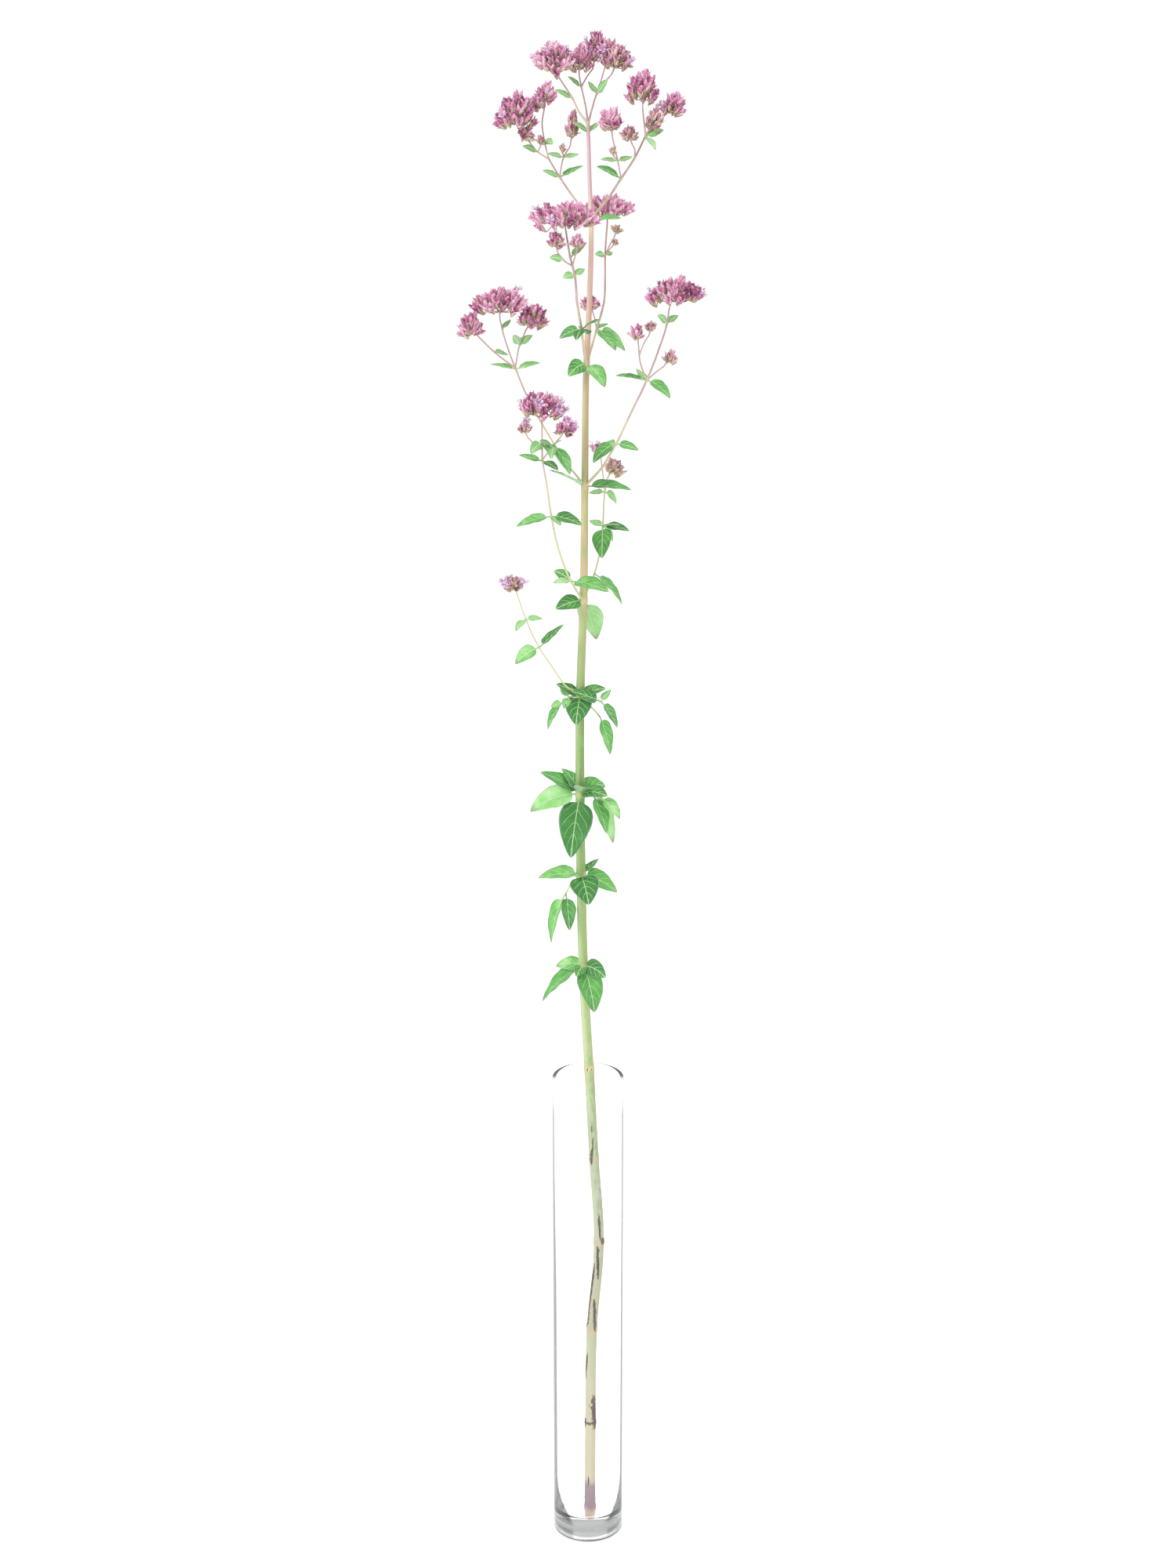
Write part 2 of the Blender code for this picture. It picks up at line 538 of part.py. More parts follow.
def build_head(name, spec, stalk, collection, material):
    """A flower head: a neck on the stalk's tip, and rays that fork from it, each with its spikelet."""
    centre, half_wide, half_high, count, _ = spec
    middle = Vector(centre) * MM
    reach = Vector((half_wide, half_wide * HEAD_DEPTH_SHARE, half_high)) * MM
    tip = stalk[-1]
    onward = (tip - stalk[-2]).normalized()
    foot = tip + onward * TOUCH_GAP
    fork = foot.lerp(middle, FORK_SHARE)
    fork_radius = min(reach.x * FORK_RADIUS_SHARE, LARGEST_FORK)
    neck = tube(name + "_neck", [foot, fork], [NECK_RADIUS] * 2, 0, collection)
    pieces = new_collection(name + "_pieces")
    work = bmesh.new()
    bmesh.ops.create_uvsphere(work, u_segments=5, v_segments=3, radius=fork_radius, matrix=Matrix.Translation(fork))
    add_object(name + "_fork", mesh_from(work, name + "_fork"), pieces)
    draw = random.Random(f"{name} {SEED}")
    spacing = math.sqrt(math.pi * reach.x * reach.y / count)
    for i in range(count):
        out = math.sqrt((i + 0.5) / count)
        angle = i * GOLDEN_ANGLE
        height = 1 - 0.9 * out * out + draw.uniform(-0.12, 0.12)
        place = Vector((math.cos(angle) * out, math.sin(angle) * out, height))
        end = middle + place * reach
        length = min(SPIKELET_LENGTH, (end - fork).length * 0.72)
        radius = min(spacing * SPIKELET_SPREAD, LARGEST_SPIKELET) * draw.uniform(0.9, 1.05)
        spikelet(f"{name}_spikelet_{i}", fork, end, length, radius, pieces)
    return fuse(name, neck, pieces, collection, material)


def main():
    clear_scene()
    collection = new_collection("oregano_in_vase")
    glass = plain_material("glass", (0.9, 0.94, 0.93), 0.02, 1.0)
    green = plain_material("leaf_green", (0.13, 0.36, 0.1), 0.6)
    purple = plain_material("flower_purple", (0.36, 0.09, 0.24), 0.6)
    vase = build_vase(collection)
    vase.data.materials.append(glass)
    for name, spec in PLANT.items():
        build_leafy_stem(name, spec, collection, green)
        courses = stalk_courses(spec)
        for head_name, head in spec["heads"].items():
            build_head(head_name, head, courses[head[4]], collection, purple)


main()
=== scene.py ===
import math
import random

import bpy
import numpy as np
from mathutils import Euler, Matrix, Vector


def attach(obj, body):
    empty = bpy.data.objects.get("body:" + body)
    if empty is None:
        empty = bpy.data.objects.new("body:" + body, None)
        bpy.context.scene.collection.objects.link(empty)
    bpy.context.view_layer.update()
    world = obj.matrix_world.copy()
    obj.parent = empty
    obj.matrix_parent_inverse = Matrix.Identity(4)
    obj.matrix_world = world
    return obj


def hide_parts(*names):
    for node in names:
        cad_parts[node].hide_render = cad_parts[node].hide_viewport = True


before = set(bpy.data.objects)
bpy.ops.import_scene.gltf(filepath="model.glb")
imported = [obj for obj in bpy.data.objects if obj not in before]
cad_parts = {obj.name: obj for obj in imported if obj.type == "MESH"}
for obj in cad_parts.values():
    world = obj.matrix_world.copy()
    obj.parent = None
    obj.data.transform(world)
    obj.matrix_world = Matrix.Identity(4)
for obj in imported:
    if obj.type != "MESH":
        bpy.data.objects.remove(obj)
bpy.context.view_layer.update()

mm = 0.001
seed = 7
goldenAngle = math.pi * (3 - math.sqrt(5))
scene = bpy.context.scene


def tint(code):  # a screen colour's hex code as linear light
    shares = [c / 255 for c in bytes.fromhex(code)]
    return (*[c / 12.92 if c < 0.04 else ((c + 0.055) / 1.055) ** 2.4 for c in shares], 1)


def tints(**codes):
    return {name: tint(code) for name, code in codes.items()}


# sums on sockets, and the one way a node is made

def sign(operation):  # a method that does one sum
    return lambda self, other: self.of(operation, other)


class Value:  # a number in a node tree that Python's signs do sums with
    def __init__(self, graph, socket):
        self.graph, self.socket = graph, socket

    def of(self, operation, *more):
        return self.graph.node("ShaderNodeMath", dict(enumerate((self, *more))), operation=operation)

    def ramp(self, low, high, start=0.0, end=1.0):  # eased from start to end as the number goes from low to high
        return self.graph.node("ShaderNodeMapRange", {0: self, 1: low, 2: high, 3: start, 4: end},
                               interpolation_type="SMOOTHSTEP")

    def __rsub__(self, other):
        return self.graph.node("ShaderNodeMath", {0: other, 1: self}, operation="SUBTRACT")

    def __abs__(self):
        return self.of("ABSOLUTE")

    __add__ = __radd__ = sign("ADD")
    __mul__ = __rmul__ = sign("MULTIPLY")
    __sub__, __truediv__, __pow__ = sign("SUBTRACT"), sign("DIVIDE"), sign("POWER")
    __mod__, __lt__, __gt__ = sign("FLOORED_MODULO"), sign("LESS_THAN"), sign("GREATER_THAN")


class Graph:  # a node tree
    def __init__(self, tree):
        self.tree = tree
        tree.nodes.clear()

    def node(self, kind, inputs=None, out=0, stops=(), **settings):  # one output of a new node, or all for None
        made = self.tree.nodes.new(kind)
        for key, value in settings.items():
            setattr(made, key, value)
        while stops and len(made.color_ramp.elements) < len(stops):
            made.color_ramp.elements.new(1)
        for i, (place, colour) in enumerate(stops):
            element = made.color_ramp.elements[i]
            element.position, element.color = place, colour
        entries = [socket for socket in made.inputs if socket.enabled]
        for key, value in (inputs or {}).items():
            socket = entries[key] if isinstance(key, int) else next(s for s in entries if s.name == key)
            if isinstance(value, Value):
                self.tree.links.new(value.socket, socket)
            else:
                socket.default_value = value
        results = [Value(self, socket) for socket in made.outputs if socket.enabled]
        return results if out is None else results[out]

    def mix(self, factor, first, second):
        return self.node("ShaderNodeMix", {0: factor, 1: first, 2: second}, data_type="RGBA")

    def layers(self, colour, *coats):  # lays each coat's colour over the last by its factor
        for factor, coat in coats:
            colour = self.mix(factor, colour, coat)
        return colour

    def place(self):  # Object coordinates
        return self.node("ShaderNodeTexCoord", out=3)

    def split(self, vector):
        return self.node("ShaderNodeSeparateXYZ", {0: vector}, None)

    def join(self, x=0.0, y=0.0, z=0.0):
        return self.node("ShaderNodeCombineXYZ", {0: x, 1: y, 2: z})

    def noise(self, place, scale, detail=2.0, roughness=0.5, stretch=None):
        if stretch:  # less than 1 draws the pattern out along that axis
            place = self.node("ShaderNodeVectorMath", {0: place, 1: stretch}, operation="MULTIPLY")
        return self.node("ShaderNodeTexNoise", {"Vector": place, "Scale": scale, "Detail": detail,
                                                "Roughness": roughness})

    def read(self, *names):  # a piece's own attributes, as numbers
        values = [self.node("ShaderNodeAttribute", out=2, attribute_name=name) for name in names]
        return values if len(names) > 1 else values[0]

    def bump(self, height, distance, strength=1.0):
        return self.node("ShaderNodeBump", {"Strength": strength, "Distance": distance, "Height": height})

    def principled(self, colour, roughness, **more):
        named = {"ior": "IOR", "specular": "Specular IOR Level", "glow": "Emission Strength",
                 "glowColour": "Emission Color", "transmission": "Transmission Weight",
                 "subsurface": "Subsurface Weight", "radius": "Subsurface Radius", "depth": "Subsurface Scale"}
        inputs = {named.get(key, key.capitalize()): value for key, value in more.items()}
        return self.node("ShaderNodeBsdfPrincipled", {"Base Color": colour, "Roughness": roughness, **inputs})


def newFinish(name):
    material = bpy.data.materials.new(name)
    material.use_nodes = True
    return material, Graph(material.node_tree)


def finish(material, graph, shader):
    graph.node("ShaderNodeOutputMaterial", {"Surface": shader}, None)
    return material


def addObject(name, data):
    obj = bpy.data.objects.new(name, data)
    scene.collection.objects.link(obj)
    return obj


# camera, floor and light

studio = {
    "cameraPlace": (0, -1.176, 0.733354), "pitchDown": 16, "lens": 59.4, "sensor": 36,
    "floorHalf": 40.0, "floorColour": tint("fafafa"), "floorGlow": 0.42,
    "worldLow": (1.05, 1.05, 1.05, 1), "worldHigh": (0.6, 0.6, 0.6, 1), "worldFrom": 0.06, "worldTo": 0.6,
    "aim": (0, 0.02, 0.45),
    # place, size, watts
    "lights": {"keyLight": ((-1.1, -1.3, 1.9), 1.0, 20), "topLight": ((0.3, 0.5, 2.4), 1.4, 9),
               "sideLight": ((1.7, -0.6, 1.2), 1.0, 4)},
}


def buildStudio():
    lens = bpy.data.cameras.new("photoCamera")
    lens.sensor_width = studio["sensor"]
    lens.lens = studio["lens"]
    camera = scene.camera = addObject("photoCamera", lens)
    camera.location = studio["cameraPlace"]
    camera.rotation_euler = (math.radians(90 - studio["pitchDown"]), 0, 0)

    half, pale = studio["floorHalf"], studio["floorColour"]
    ground = bpy.data.meshes.new("floor")
    ground.from_pydata([(-half, -half, 0), (half, -half, 0), (half, half, 0), (-half, half, 0)], [], [(0, 1, 2, 3)])
    material, graph = newFinish("pale floor")
    shader = graph.principled(pale, 0.9, specular=0.1, glowColour=pale, glow=studio["floorGlow"])
    ground.materials.append(finish(material, graph, shader))
    addObject("floor", ground)

    world = scene.world = bpy.data.worlds.new("studio")
    world.use_nodes = True
    graph = Graph(world.node_tree)
    height = graph.split(graph.node("ShaderNodeTexCoord"))[2]
    sky = graph.mix(height.ramp(studio["worldFrom"], studio["worldTo"]), studio["worldLow"], studio["worldHigh"])
    graph.node("ShaderNodeOutputWorld", {"Surface": graph.node("ShaderNodeBackground", {"Color": sky})}, None)
    for name, (place, size, watts) in studio["lights"].items():
        lamp = bpy.data.lights.new(name, "AREA")
        lamp.shape, lamp.size, lamp.energy = "DISK", size, watts
        holder = addObject(name, lamp)
        holder.location = place
        holder.rotation_euler = (Vector(studio["aim"]) - Vector(place)).to_track_quat("-Z", "Y").to_euler()
    scene.view_settings.view_transform = "Standard"
    print("camera, floor and light are in place")


buildStudio()


# finishes

glassLook = {
    # after the clear colour, all are painted: dark edges, grey bands and streaks for refracted surroundings, and glows
    # on the lip and bowl
    **tints(colour="fdfefd", edge="363838", thick="bec1c0", cloud="b0b2b2", dark="545656", lipNear="f4f5f5",
            lip="484949", bowl="e2e3e3"),
    "ior": 1.4, "leftMore": 0.08, "clearSlope": 0.421, "clearFrom": 0.2377,
}


def makeGlass():
    material, graph = newFinish("clear glass")
    look, place = glassLook, graph.place()
    x, y, z = graph.split(place)
    facing = graph.node("ShaderNodeLayerWeight", {"Blend": 0.5}, 1)
    spread, aside = (x * x + y * y) ** 0.5, abs(x)
    skin = spread.ramp(0.0163, 0.0168)  # the outer skin only
    low = z.ramp(0.008, 0.04, 1.0, 0.0)  # the edge lines widen and grey towards the floor: painted refraction of the thick base
    # painted shade: the edge lines are darker on the left, where the surroundings are darker
    left = (x * -1).ramp(0.0, 0.012) * z.ramp(0.13, 0.23, 1.0, 0.0) * look["leftMore"]
    thin = z.ramp(0.1, 0.24) * 0.02  # the wall's lines are finer towards the top
    # painted shade: dark lines where the glass turns away from view, standing in for the darker surroundings it
    # refracts
    edge = (facing + low ** 2 * 0.4 + left - thin).ramp(0.665, 0.725) * z.ramp(0.228, 0.244, 1.0, 0.3) * skin
    # painted refraction: grey bands across the thick base
    bands = graph.noise(place, 1.0, stretch=(22, 22, 300))
    base = z.ramp(0.0085, 0.0125, 1.0, 0.0) * skin
    colour = graph.layers(look["colour"], (edge, look["edge"]), (base * bands.ramp(0.4, 0.6, 0.3, 0.9), look["thick"]))
    lip = z.ramp(0.2445, 0.246)  # the lip glows: a painted highlight, near white on its near half and faint grey on the far half, that shines against the background
    near = y.ramp(-0.005, 0.0005, 1.0, 0.0) * aside.ramp(0.004, 0.008)
    rise = z - y.ramp(0.0, 0.008) * 0.007  # a painted glow that lights the bowl white, and the foot of the far wall behind it
    bowl = spread.ramp(0.0156, 0.016, 1.0, 0.0) * z.ramp(0.007, 0.009) * rise.ramp(0.0138, 0.015, 1.0, 0.0)
    bowl = bowl * aside.ramp(0.0025, 0.005).of("MAXIMUM", y.ramp(-0.01, -0.006))
    glow = graph.layers((0, 0, 0, 1), (lip, graph.mix(near, look["lip"], look["lipNear"])), (bowl, look["bowl"]))
    # the lip is clear where it crosses the stem, down to a plane through the camera
    gap = (z + y * look["clearSlope"] > look["clearFrom"]) * y.ramp(-0.012, -0.008, 1.0, 0.0)
    gap = gap * aside.ramp(0.004, 0.0055, 1.0, 0.0)
    clear = graph.principled(colour, 0.0, ior=look["ior"], transmission=1.0, glowColour=glow, glow=1.0, alpha=1 - gap)

    curve = z - 0.0098 - aside * aside * 14.7  # painted refraction: dark streaks that follow the bowl's edge, and a painted dark line below
    streak = (abs(curve) + (bands - 0.5) * 0.002).ramp(0.0006, 0.0016, 1.0, 0.0) * aside.ramp(0.004, 0.0135)
    foot = z.ramp(0.0009, 0.0017, 1.0, 0.0) * spread.ramp(0.0155, 0.0162)
    dark = (streak * skin * 0.75).of("MAXIMUM", foot * 0.8)
    # the base turns to a painted grey by its bands and towards its bottom, and where the dark marks are
    cloud = (base * (bands.ramp(0.42, 0.6, 0.1, 0.5) + z.ramp(0.001, 0.005, 0.4, 0.0))).of("MAXIMUM", dark)
    grey = graph.principled(graph.mix(dark.ramp(0.1, 0.5), look["cloud"], look["dark"]), 0.2, specular=0.5)
    return finish(material, graph, graph.node("ShaderNodeMixShader", {0: cloud, 1: clear, 2: grey}))


leafColours = tints(deep="3a8238", mid="60b052", bright="92d876", young="a2d690", vein="d6f2c2", edge="dcecd2",
                    mauve="7c6672", dusk="3a6e4c", under="a2c49c", underVein="deeed2", pale="ceecbe")
leafVeins = {"count": 5.2, "slant": 1.9}


def makeLeafFinish():
    material, graph = newFinish("oregano leaf")
    look, place = leafColours, graph.place()
    across, along, under, tone, young = graph.read("across", "along", "under", "tone", "young")
    reach, span = graph.read("reach", "span")
    side, count = abs(across), leafVeins["count"]
    wobble = graph.noise(place, 240.0)
    order = along * count - side ** 1.25 * leafVeins["slant"] + wobble * 0.3
    gap = abs(order % 1 - 0.5) * span / count
    sideVeins = gap.ramp(0.05, 0.3, 1.0, 0.0) * side.ramp(0.6, 0.95, 1.0, 0.0) * (1 - young * 0.5)
    rib = reach.ramp(0.1, 0.34, 1.0, 0.0)
    net = graph.node("ShaderNodeTexVoronoi", {"Vector": place, "Scale": 900.0}, feature="DISTANCE_TO_EDGE")
    veins = (sideVeins * 0.85).of("MAXIMUM", rib).of("MAXIMUM", net.ramp(0.0, 0.16, 1.0, 0.0) * 0.1)
    patches = graph.noise(place, 95.0, 3.0, 0.6)
    light = (patches - 0.5) * 1.1 + tone * 0.8 + 0.4 + sideVeins * 0.1
    upper = graph.layers(
        look["deep"], (light.ramp(0.1, 0.55), look["mid"]), (light.ramp(0.45, 1.0), look["bright"]),
        (young * 0.6, look["young"]),
        # painted shade towards the blade's sides, more on darker leaves
        (side.ramp(0.5, 0.95) * (0.5 - tone * 0.6).of("MAXIMUM", 0.0) * 0.6, look["dusk"]),
        ((patches + tone * 0.4).ramp(0.6, 1.0) * 0.8, look["pale"]), (veins * 0.75, look["vein"]))
    lower = graph.layers(look["under"], (veins * 0.7, look["underVein"]), (patches.ramp(0.35, 0.7) * 0.3, look["mid"]),
                         (tone.ramp(0.35, 0.6) * 0.75, upper))
    ends = (along.ramp(0.8, 1.0) + side.ramp(0.9, 1.0) * 0.5) * (graph.noise(place, 60.0) + tone * 0.6).ramp(0.5, 0.8)
    colour = graph.layers(upper, (under.ramp(0.3, 0.7), lower), (side.ramp(0.9, 1.0) * 0.6, look["edge"]),
                          (ends.of("MINIMUM", 1.0) * 0.6, look["mauve"]))
    grain = graph.noise(place, 1500.0)
    relief = graph.bump(grain * 0.35 + wobble * 0.5 - veins * 0.8, 0.00016, 0.8)
    return finish(material, graph, graph.principled(colour, 0.5 + grain * 0.18, normal=relief, specular=0.35,
                                                    subsurface=0.12, radius=(0.6, 1.0, 0.3), depth=0.0006))


# The main stem's route: place in mm and radius in mm. A joint is a point of the route.
mainRoute = [
    (1, -11.8, 10.7, 2.4), (1, -11.2, 17, 2.4), (1.2, -6.8, 63, 2.35), (2, -2, 113, 2.3), (5.5, 3, 158, 2.25),
    (3, 8, 201, 2.2), (0.5, 12.5, 247, 2.1), (-1, 14, 272, 2.1), (-2.3, 16, 299, 2.1), (-3.4, 19, 345, 2.05),
    (-3.8, 21, 385, 1.95), (-3.7, 24, 433, 1.85), (-3, 25, 455, 1.75), (-2.2, 26, 479, 1.7), (-1.5, 28, 533, 1.5),
    (-0.7, 30, 590, 1.35), (0.4, 31, 613, 1.25), (1.4, 31.4, 655, 1.05), (0.7, 31.7, 673, 0.95), (0.1, 32, 694, 0.9),
    (0, 32, 697, 0.9),
]
mainJoints = (1, 2, 3, 4, 5, 6, 8, 9, 10, 11, 13, 14, 15, 17)
stemColours = tints(flush="c48c84", pale="e8eac4", scar="281814", fresh="8cc068", joint="e4cea0", bloom="583644",
                    line="5c3e3e")
stemMarks = {
    "top": 0.70,
    "heights": {  # height in m up the stem, colour
        0.0105: "f6d6be", 0.0160: "ecccb8", 0.0185: "b494a4", 0.0300: "baa0aa", 0.0335: "f6ecce", 0.075: "ece6c8",
        0.092: "dcdebc", 0.120: "d4d4b4", 0.180: "d6dec2", 0.215: "cedab2", 0.245: "beca9a", 0.300: "9eb676",
        0.345: "88a866", 0.400: "78a05a", 0.440: "96a86a", 0.476: "b2b682", 0.486: "ceb88e", 0.530: "c8b88c",
        0.540: "b8b080", 0.585: "bcae86", 0.597: "d4b2a0", 0.640: "d6b4a8", 0.652: "ead4b8", 0.668: "debec4",
        0.697: "d0acbc",
    },
    # low end, high end, azimuth, width of each blotch or streak in m and degrees, and how brown it is (0 mauve)
    "scars": [
        (0.059, 0.079, 318, 44, 0.2), (0.0605, 0.0655, 190, 24, 0.3), (0.1115, 0.129, 288, 22, 0.5),
        (0.1125, 0.1235, 195, 22, 0.1), (0.12, 0.15, 214, 18, 0.1), (0.139, 0.157, 275, 18, 0.9),
        (0.157, 0.161, 320, 34, 0.4), (0.159, 0.173, 288, 15, 1), (0.1985, 0.2065, 240, 24, 0.9),
        (0.203, 0.213, 264, 8, 1), (0.215, 0.2185, 264, 6, 1), (0.2458, 0.2476, 250, 7, 0.5),
        (0.246, 0.2474, 296, 6, 0.3), (0.029, 0.035, 250, 9, 0.1), (0.084, 0.1, 200, 14, 0.1),
    ],
}


def stemAt(height):  # the middle and radius of the bare stem at a height, all in m
    return [np.interp(height / mm, [p[2] for p in mainRoute], [p[i] for p in mainRoute]) * mm for i in (0, 1, 3)]


def makeStemFinish():
    material, graph = newFinish("oregano stem")
    look, place = stemColours, graph.place()
    around, joint = graph.read("around", "joint")
    x, y, z = graph.split(place)

    def grain(tall, scale, detail=3.0, roughness=0.6):  # drawn out along the stem
        return graph.noise(place, scale, detail, roughness, (1, 1, tall))

    wander, fibres, speckle = grain(0.2, 60.0, 2.0, 0.5), grain(0.035, 900.0, 3.0, 0.5), grain(0.6, 2600.0, 2.0, 0.5)
    mottle, grit = grain(0.3, 500.0), grain(0.6, 1900.0)
    ragged, uneven = grain(0.35, 1300.0) - 0.5, grain(0.25, 420.0) - 0.5
    top = stemMarks["top"]
    stops = [(height / top, tint(code)) for height, code in stemMarks["heights"].items()]
    right = (around * 2 * math.pi).of("COSINE")  # 1 on the side towards +x
    left = (wander * 0.6 - right * 0.7 + fibres * 0.2).ramp(0.35, 0.85)
    left = left * z.ramp(0.2, 0.5, 0.75, 0.35) * z.ramp(0.03, 0.045)
    pale = (left + fibres.ramp(0.5, 0.75) * 0.3 + speckle.ramp(0.58, 0.7) * 0.3).of("MINIMUM", 1.0)
    fresh = mottle.ramp(0.42, 0.62) * right.ramp(-0.8, 0.1) * z.ramp(0.1, 0.2) * z.ramp(0.5, 0.56, 1.0, 0.0)
    flush = (right * 0.6 + wander * 0.9).ramp(0.45, 1.0) * z.ramp(0.42, 0.5, 0.2, 0.75)
    ring = (joint + (grit - 0.5) * 0.9).ramp(0.35, 1.0) * z.ramp(0.25, 0.3, 0.8, 0.35) * z.ramp(0.03, 0.04)
    colour = graph.node("ShaderNodeValToRGB", {0: z / top + (wander - 0.5) * 0.012}, stops=stops)
    colour = graph.layers(colour, (pale * 0.45, look["pale"]), (fresh * 0.6, look["fresh"]),
                          (flush * 0.7, look["flush"]), (ring, look["joint"]))
    for low, high, azimuth, width, brown in stemMarks["scars"]:  # blotches and streaks by the bare joints
        middle = (low + high) / 2
        cx, cy, radius = stemAt(middle)
        ax, ay = math.cos(math.radians(azimuth)), math.sin(math.radians(azimuth))
        ahead = ((x - cx) * ax + (y - cy) * ay) > 0
        across = ((y - cy) * ax - (x - cx) * ay) / (radius * math.sin(math.radians(width))) + ragged * 2.4
        level = (z - middle) / ((high - low) / 2) + uneven * 1.1
        body = 1 - abs(across) ** 1.6 - level ** 4
        scar = (body * 1.6 + (grit - 0.5) * 2.6).ramp(0.0, 0.3) * ahead * uneven.ramp(-0.25, 0.15, 1.0, 0.85)
        shade = tuple(a + (b - a) * brown for a, b in zip(look["bloom"], look["scar"]))
        colour = graph.layers(colour, (body.ramp(-1.6, 0.1) * ahead * grit.ramp(0.3, 0.7) * 0.7, look["joint"]),
                              (scar, shade))
    line = (joint + (grit - 0.5) * 0.7).ramp(0.7, 0.95) * z.ramp(0.05, 0.06) * z.ramp(0.07, 0.09, 1.0, 0.0)
    colour = graph.mix(line * 0.9, colour, look["line"])
    relief = graph.bump(fibres + speckle * 0.5, 0.00015, 0.6)
    return finish(material, graph, graph.principled(colour, 0.42 + fibres * 0.25, normal=relief, specular=0.4))


twigColours = tints(low="dcd0ac", high="be9a9a", shade="9c727c", green="c0ce96", joint="beb888")


def makeTwigFinish():
    material, graph = newFinish("oregano twig")
    look, place = twigColours, graph.place()
    joint, along, around = graph.read("joint", "along", "around")
    patches = graph.noise(place, 130.0)
    fibres = graph.noise(place, 1400.0, stretch=(1, 1, 0.08))
    z = graph.split(place)[2]
    height, right = z + patches * 0.06, (around * 2 * math.pi).of("COSINE")
    # painted shade on the side towards +x, in the upper twigs
    shaded = (right * 0.4 + patches).ramp(0.55, 1.0) * z.ramp(0.5, 0.66, 0.05, 0.5)
    colour = graph.layers(look["low"], ((along * 0.7 + patches * 0.6).ramp(0.25, 0.85), look["high"]),
                          (height.ramp(0.54, 0.64, 0.75, 0.0), look["low"]),
                          (height.ramp(0.5, 0.58, 0.8, 0.0), look["green"]), (shaded, look["shade"]),
                          (joint.ramp(0.3, 1.0) * 0.5, look["joint"]))
    return finish(material, graph, graph.principled(colour, 0.45 + fibres * 0.2, specular=0.4,
                                                    normal=graph.bump(fibres, 0.0001, 0.5)))


flowerColours = tints(deep="964076", mid="dc7eb0", light="fac8e2", tip="fee0ee", foot="d0c69c", footShade="b08e78",
                      leafy="b2bc8e", petal="f8e2f6", petalDeep="dea8de", stamen="e8b8d6", anther="966084")
# the bracts glow faintly in their own colour: painted light that lifts their shade
bractGlow = 0.05


def makeBractFinish():
    material, graph = newFinish("oregano bract")
    look, place = flowerColours, graph.place()
    across, along, tone, layer, shade, young = graph.read("across", "along", "tone", "layer", "shade", "young")
    side, shade = abs(across), (shade + tone * 7.3) % 1  # each bract its own shade
    patches = graph.noise(place, 420.0)
    rise = along * 0.55 + layer * 0.9 + (patches - 0.5) * 0.6 + tone * 0.3 - young * 0.25
    light = patches * 0.6 + tone * 0.6 + shade * 0.5 - 0.02
    foot = graph.mix(light.ramp(0.15, 0.55), look["footShade"], look["foot"])
    purple = graph.layers(look["deep"], (light.ramp(0.15, 0.55), look["mid"]), (light.ramp(0.45, 0.85), look["light"]),
                          (young * 0.7, foot))
    ends = (along.ramp(0.72, 1.0) + side.ramp(0.7, 1.0) * 0.6).of("MINIMUM", 1.0) * 0.5
    lines = (side * 9.4).of("COSINE").ramp(0.5, 1.0) * (1 - along)
    colour = graph.layers(foot, (rise.ramp(0.22, 0.7), purple), (layer.ramp(-0.9, -0.3, 0.8, 0.0), look["leafy"]),
                          (ends, look["tip"]), (lines * 0.35, look["deep"]))
    return finish(material, graph, graph.principled(
        colour, 0.5, normal=graph.bump(lines * -1 + patches, 0.0001, 0.5), specular=0.3, subsurface=0.15,
        radius=(1.0, 0.4, 0.7), depth=0.0005, glowColour=colour, glow=bractGlow))


def makePetalFinish():
    material, graph = newFinish("oregano petal")
    look, place = flowerColours, graph.place()
    along, across, stamen = graph.read("along", "across", "stamen")
    patches = graph.noise(place, 500.0)
    thread = graph.mix(along.ramp(0.86, 0.9), look["stamen"], look["anther"])
    pale = (abs(across) * 0.5 + along * 0.7 + patches * 0.4).ramp(0.45, 1.0)
    colour = graph.layers(look["petalDeep"], (pale, look["petal"]), (stamen > 0.5, thread))
    return finish(material, graph, graph.principled(
        colour, 0.45, normal=graph.bump(patches, 0.0001, 0.4), specular=0.3, subsurface=0.2, radius=(1.0, 0.7, 1.0),
        depth=0.0006))


glass, leafFinish, stemFinish = makeGlass(), makeLeafFinish(), makeStemFinish()
twigFinish, bractFinish, petalFinish = makeTwigFinish(), makeBractFinish(), makePetalFinish()
print("finishes are made")


# meshes and Geometry Nodes trees

def meshWith(name, points, edges, faces, numbers=None, axes=None):  # a mesh with its point attributes
    mesh = bpy.data.meshes.new(name)
    mesh.from_pydata([tuple(p) for p in points], edges, faces)
    for key, values in (numbers or {}).items():
        mesh.attributes.new(key, "FLOAT", "POINT").data.foreach_set("value", np.asarray(values, np.float32))
    if axes:
        flat = np.asarray(axes, np.float32).ravel()
        mesh.attributes.new("axis", "FLOAT_VECTOR", "POINT").data.foreach_set("vector", flat)
    return mesh


def newTree(name, inputs):  # an empty tree, and its inputs by name
    tree = bpy.data.node_groups.new(name, "GeometryNodeTree")
    for key, kind in {"Geometry": "Geometry", **inputs}.items():
        tree.interface.new_socket(key, in_out="INPUT", socket_type="NodeSocket" + kind)
    tree.interface.new_socket("Geometry", in_out="OUTPUT", socket_type="NodeSocketGeometry")
    graph = Graph(tree)
    return tree, graph, dict(zip(["Geometry", *inputs], graph.node("NodeGroupInput", out=None)))


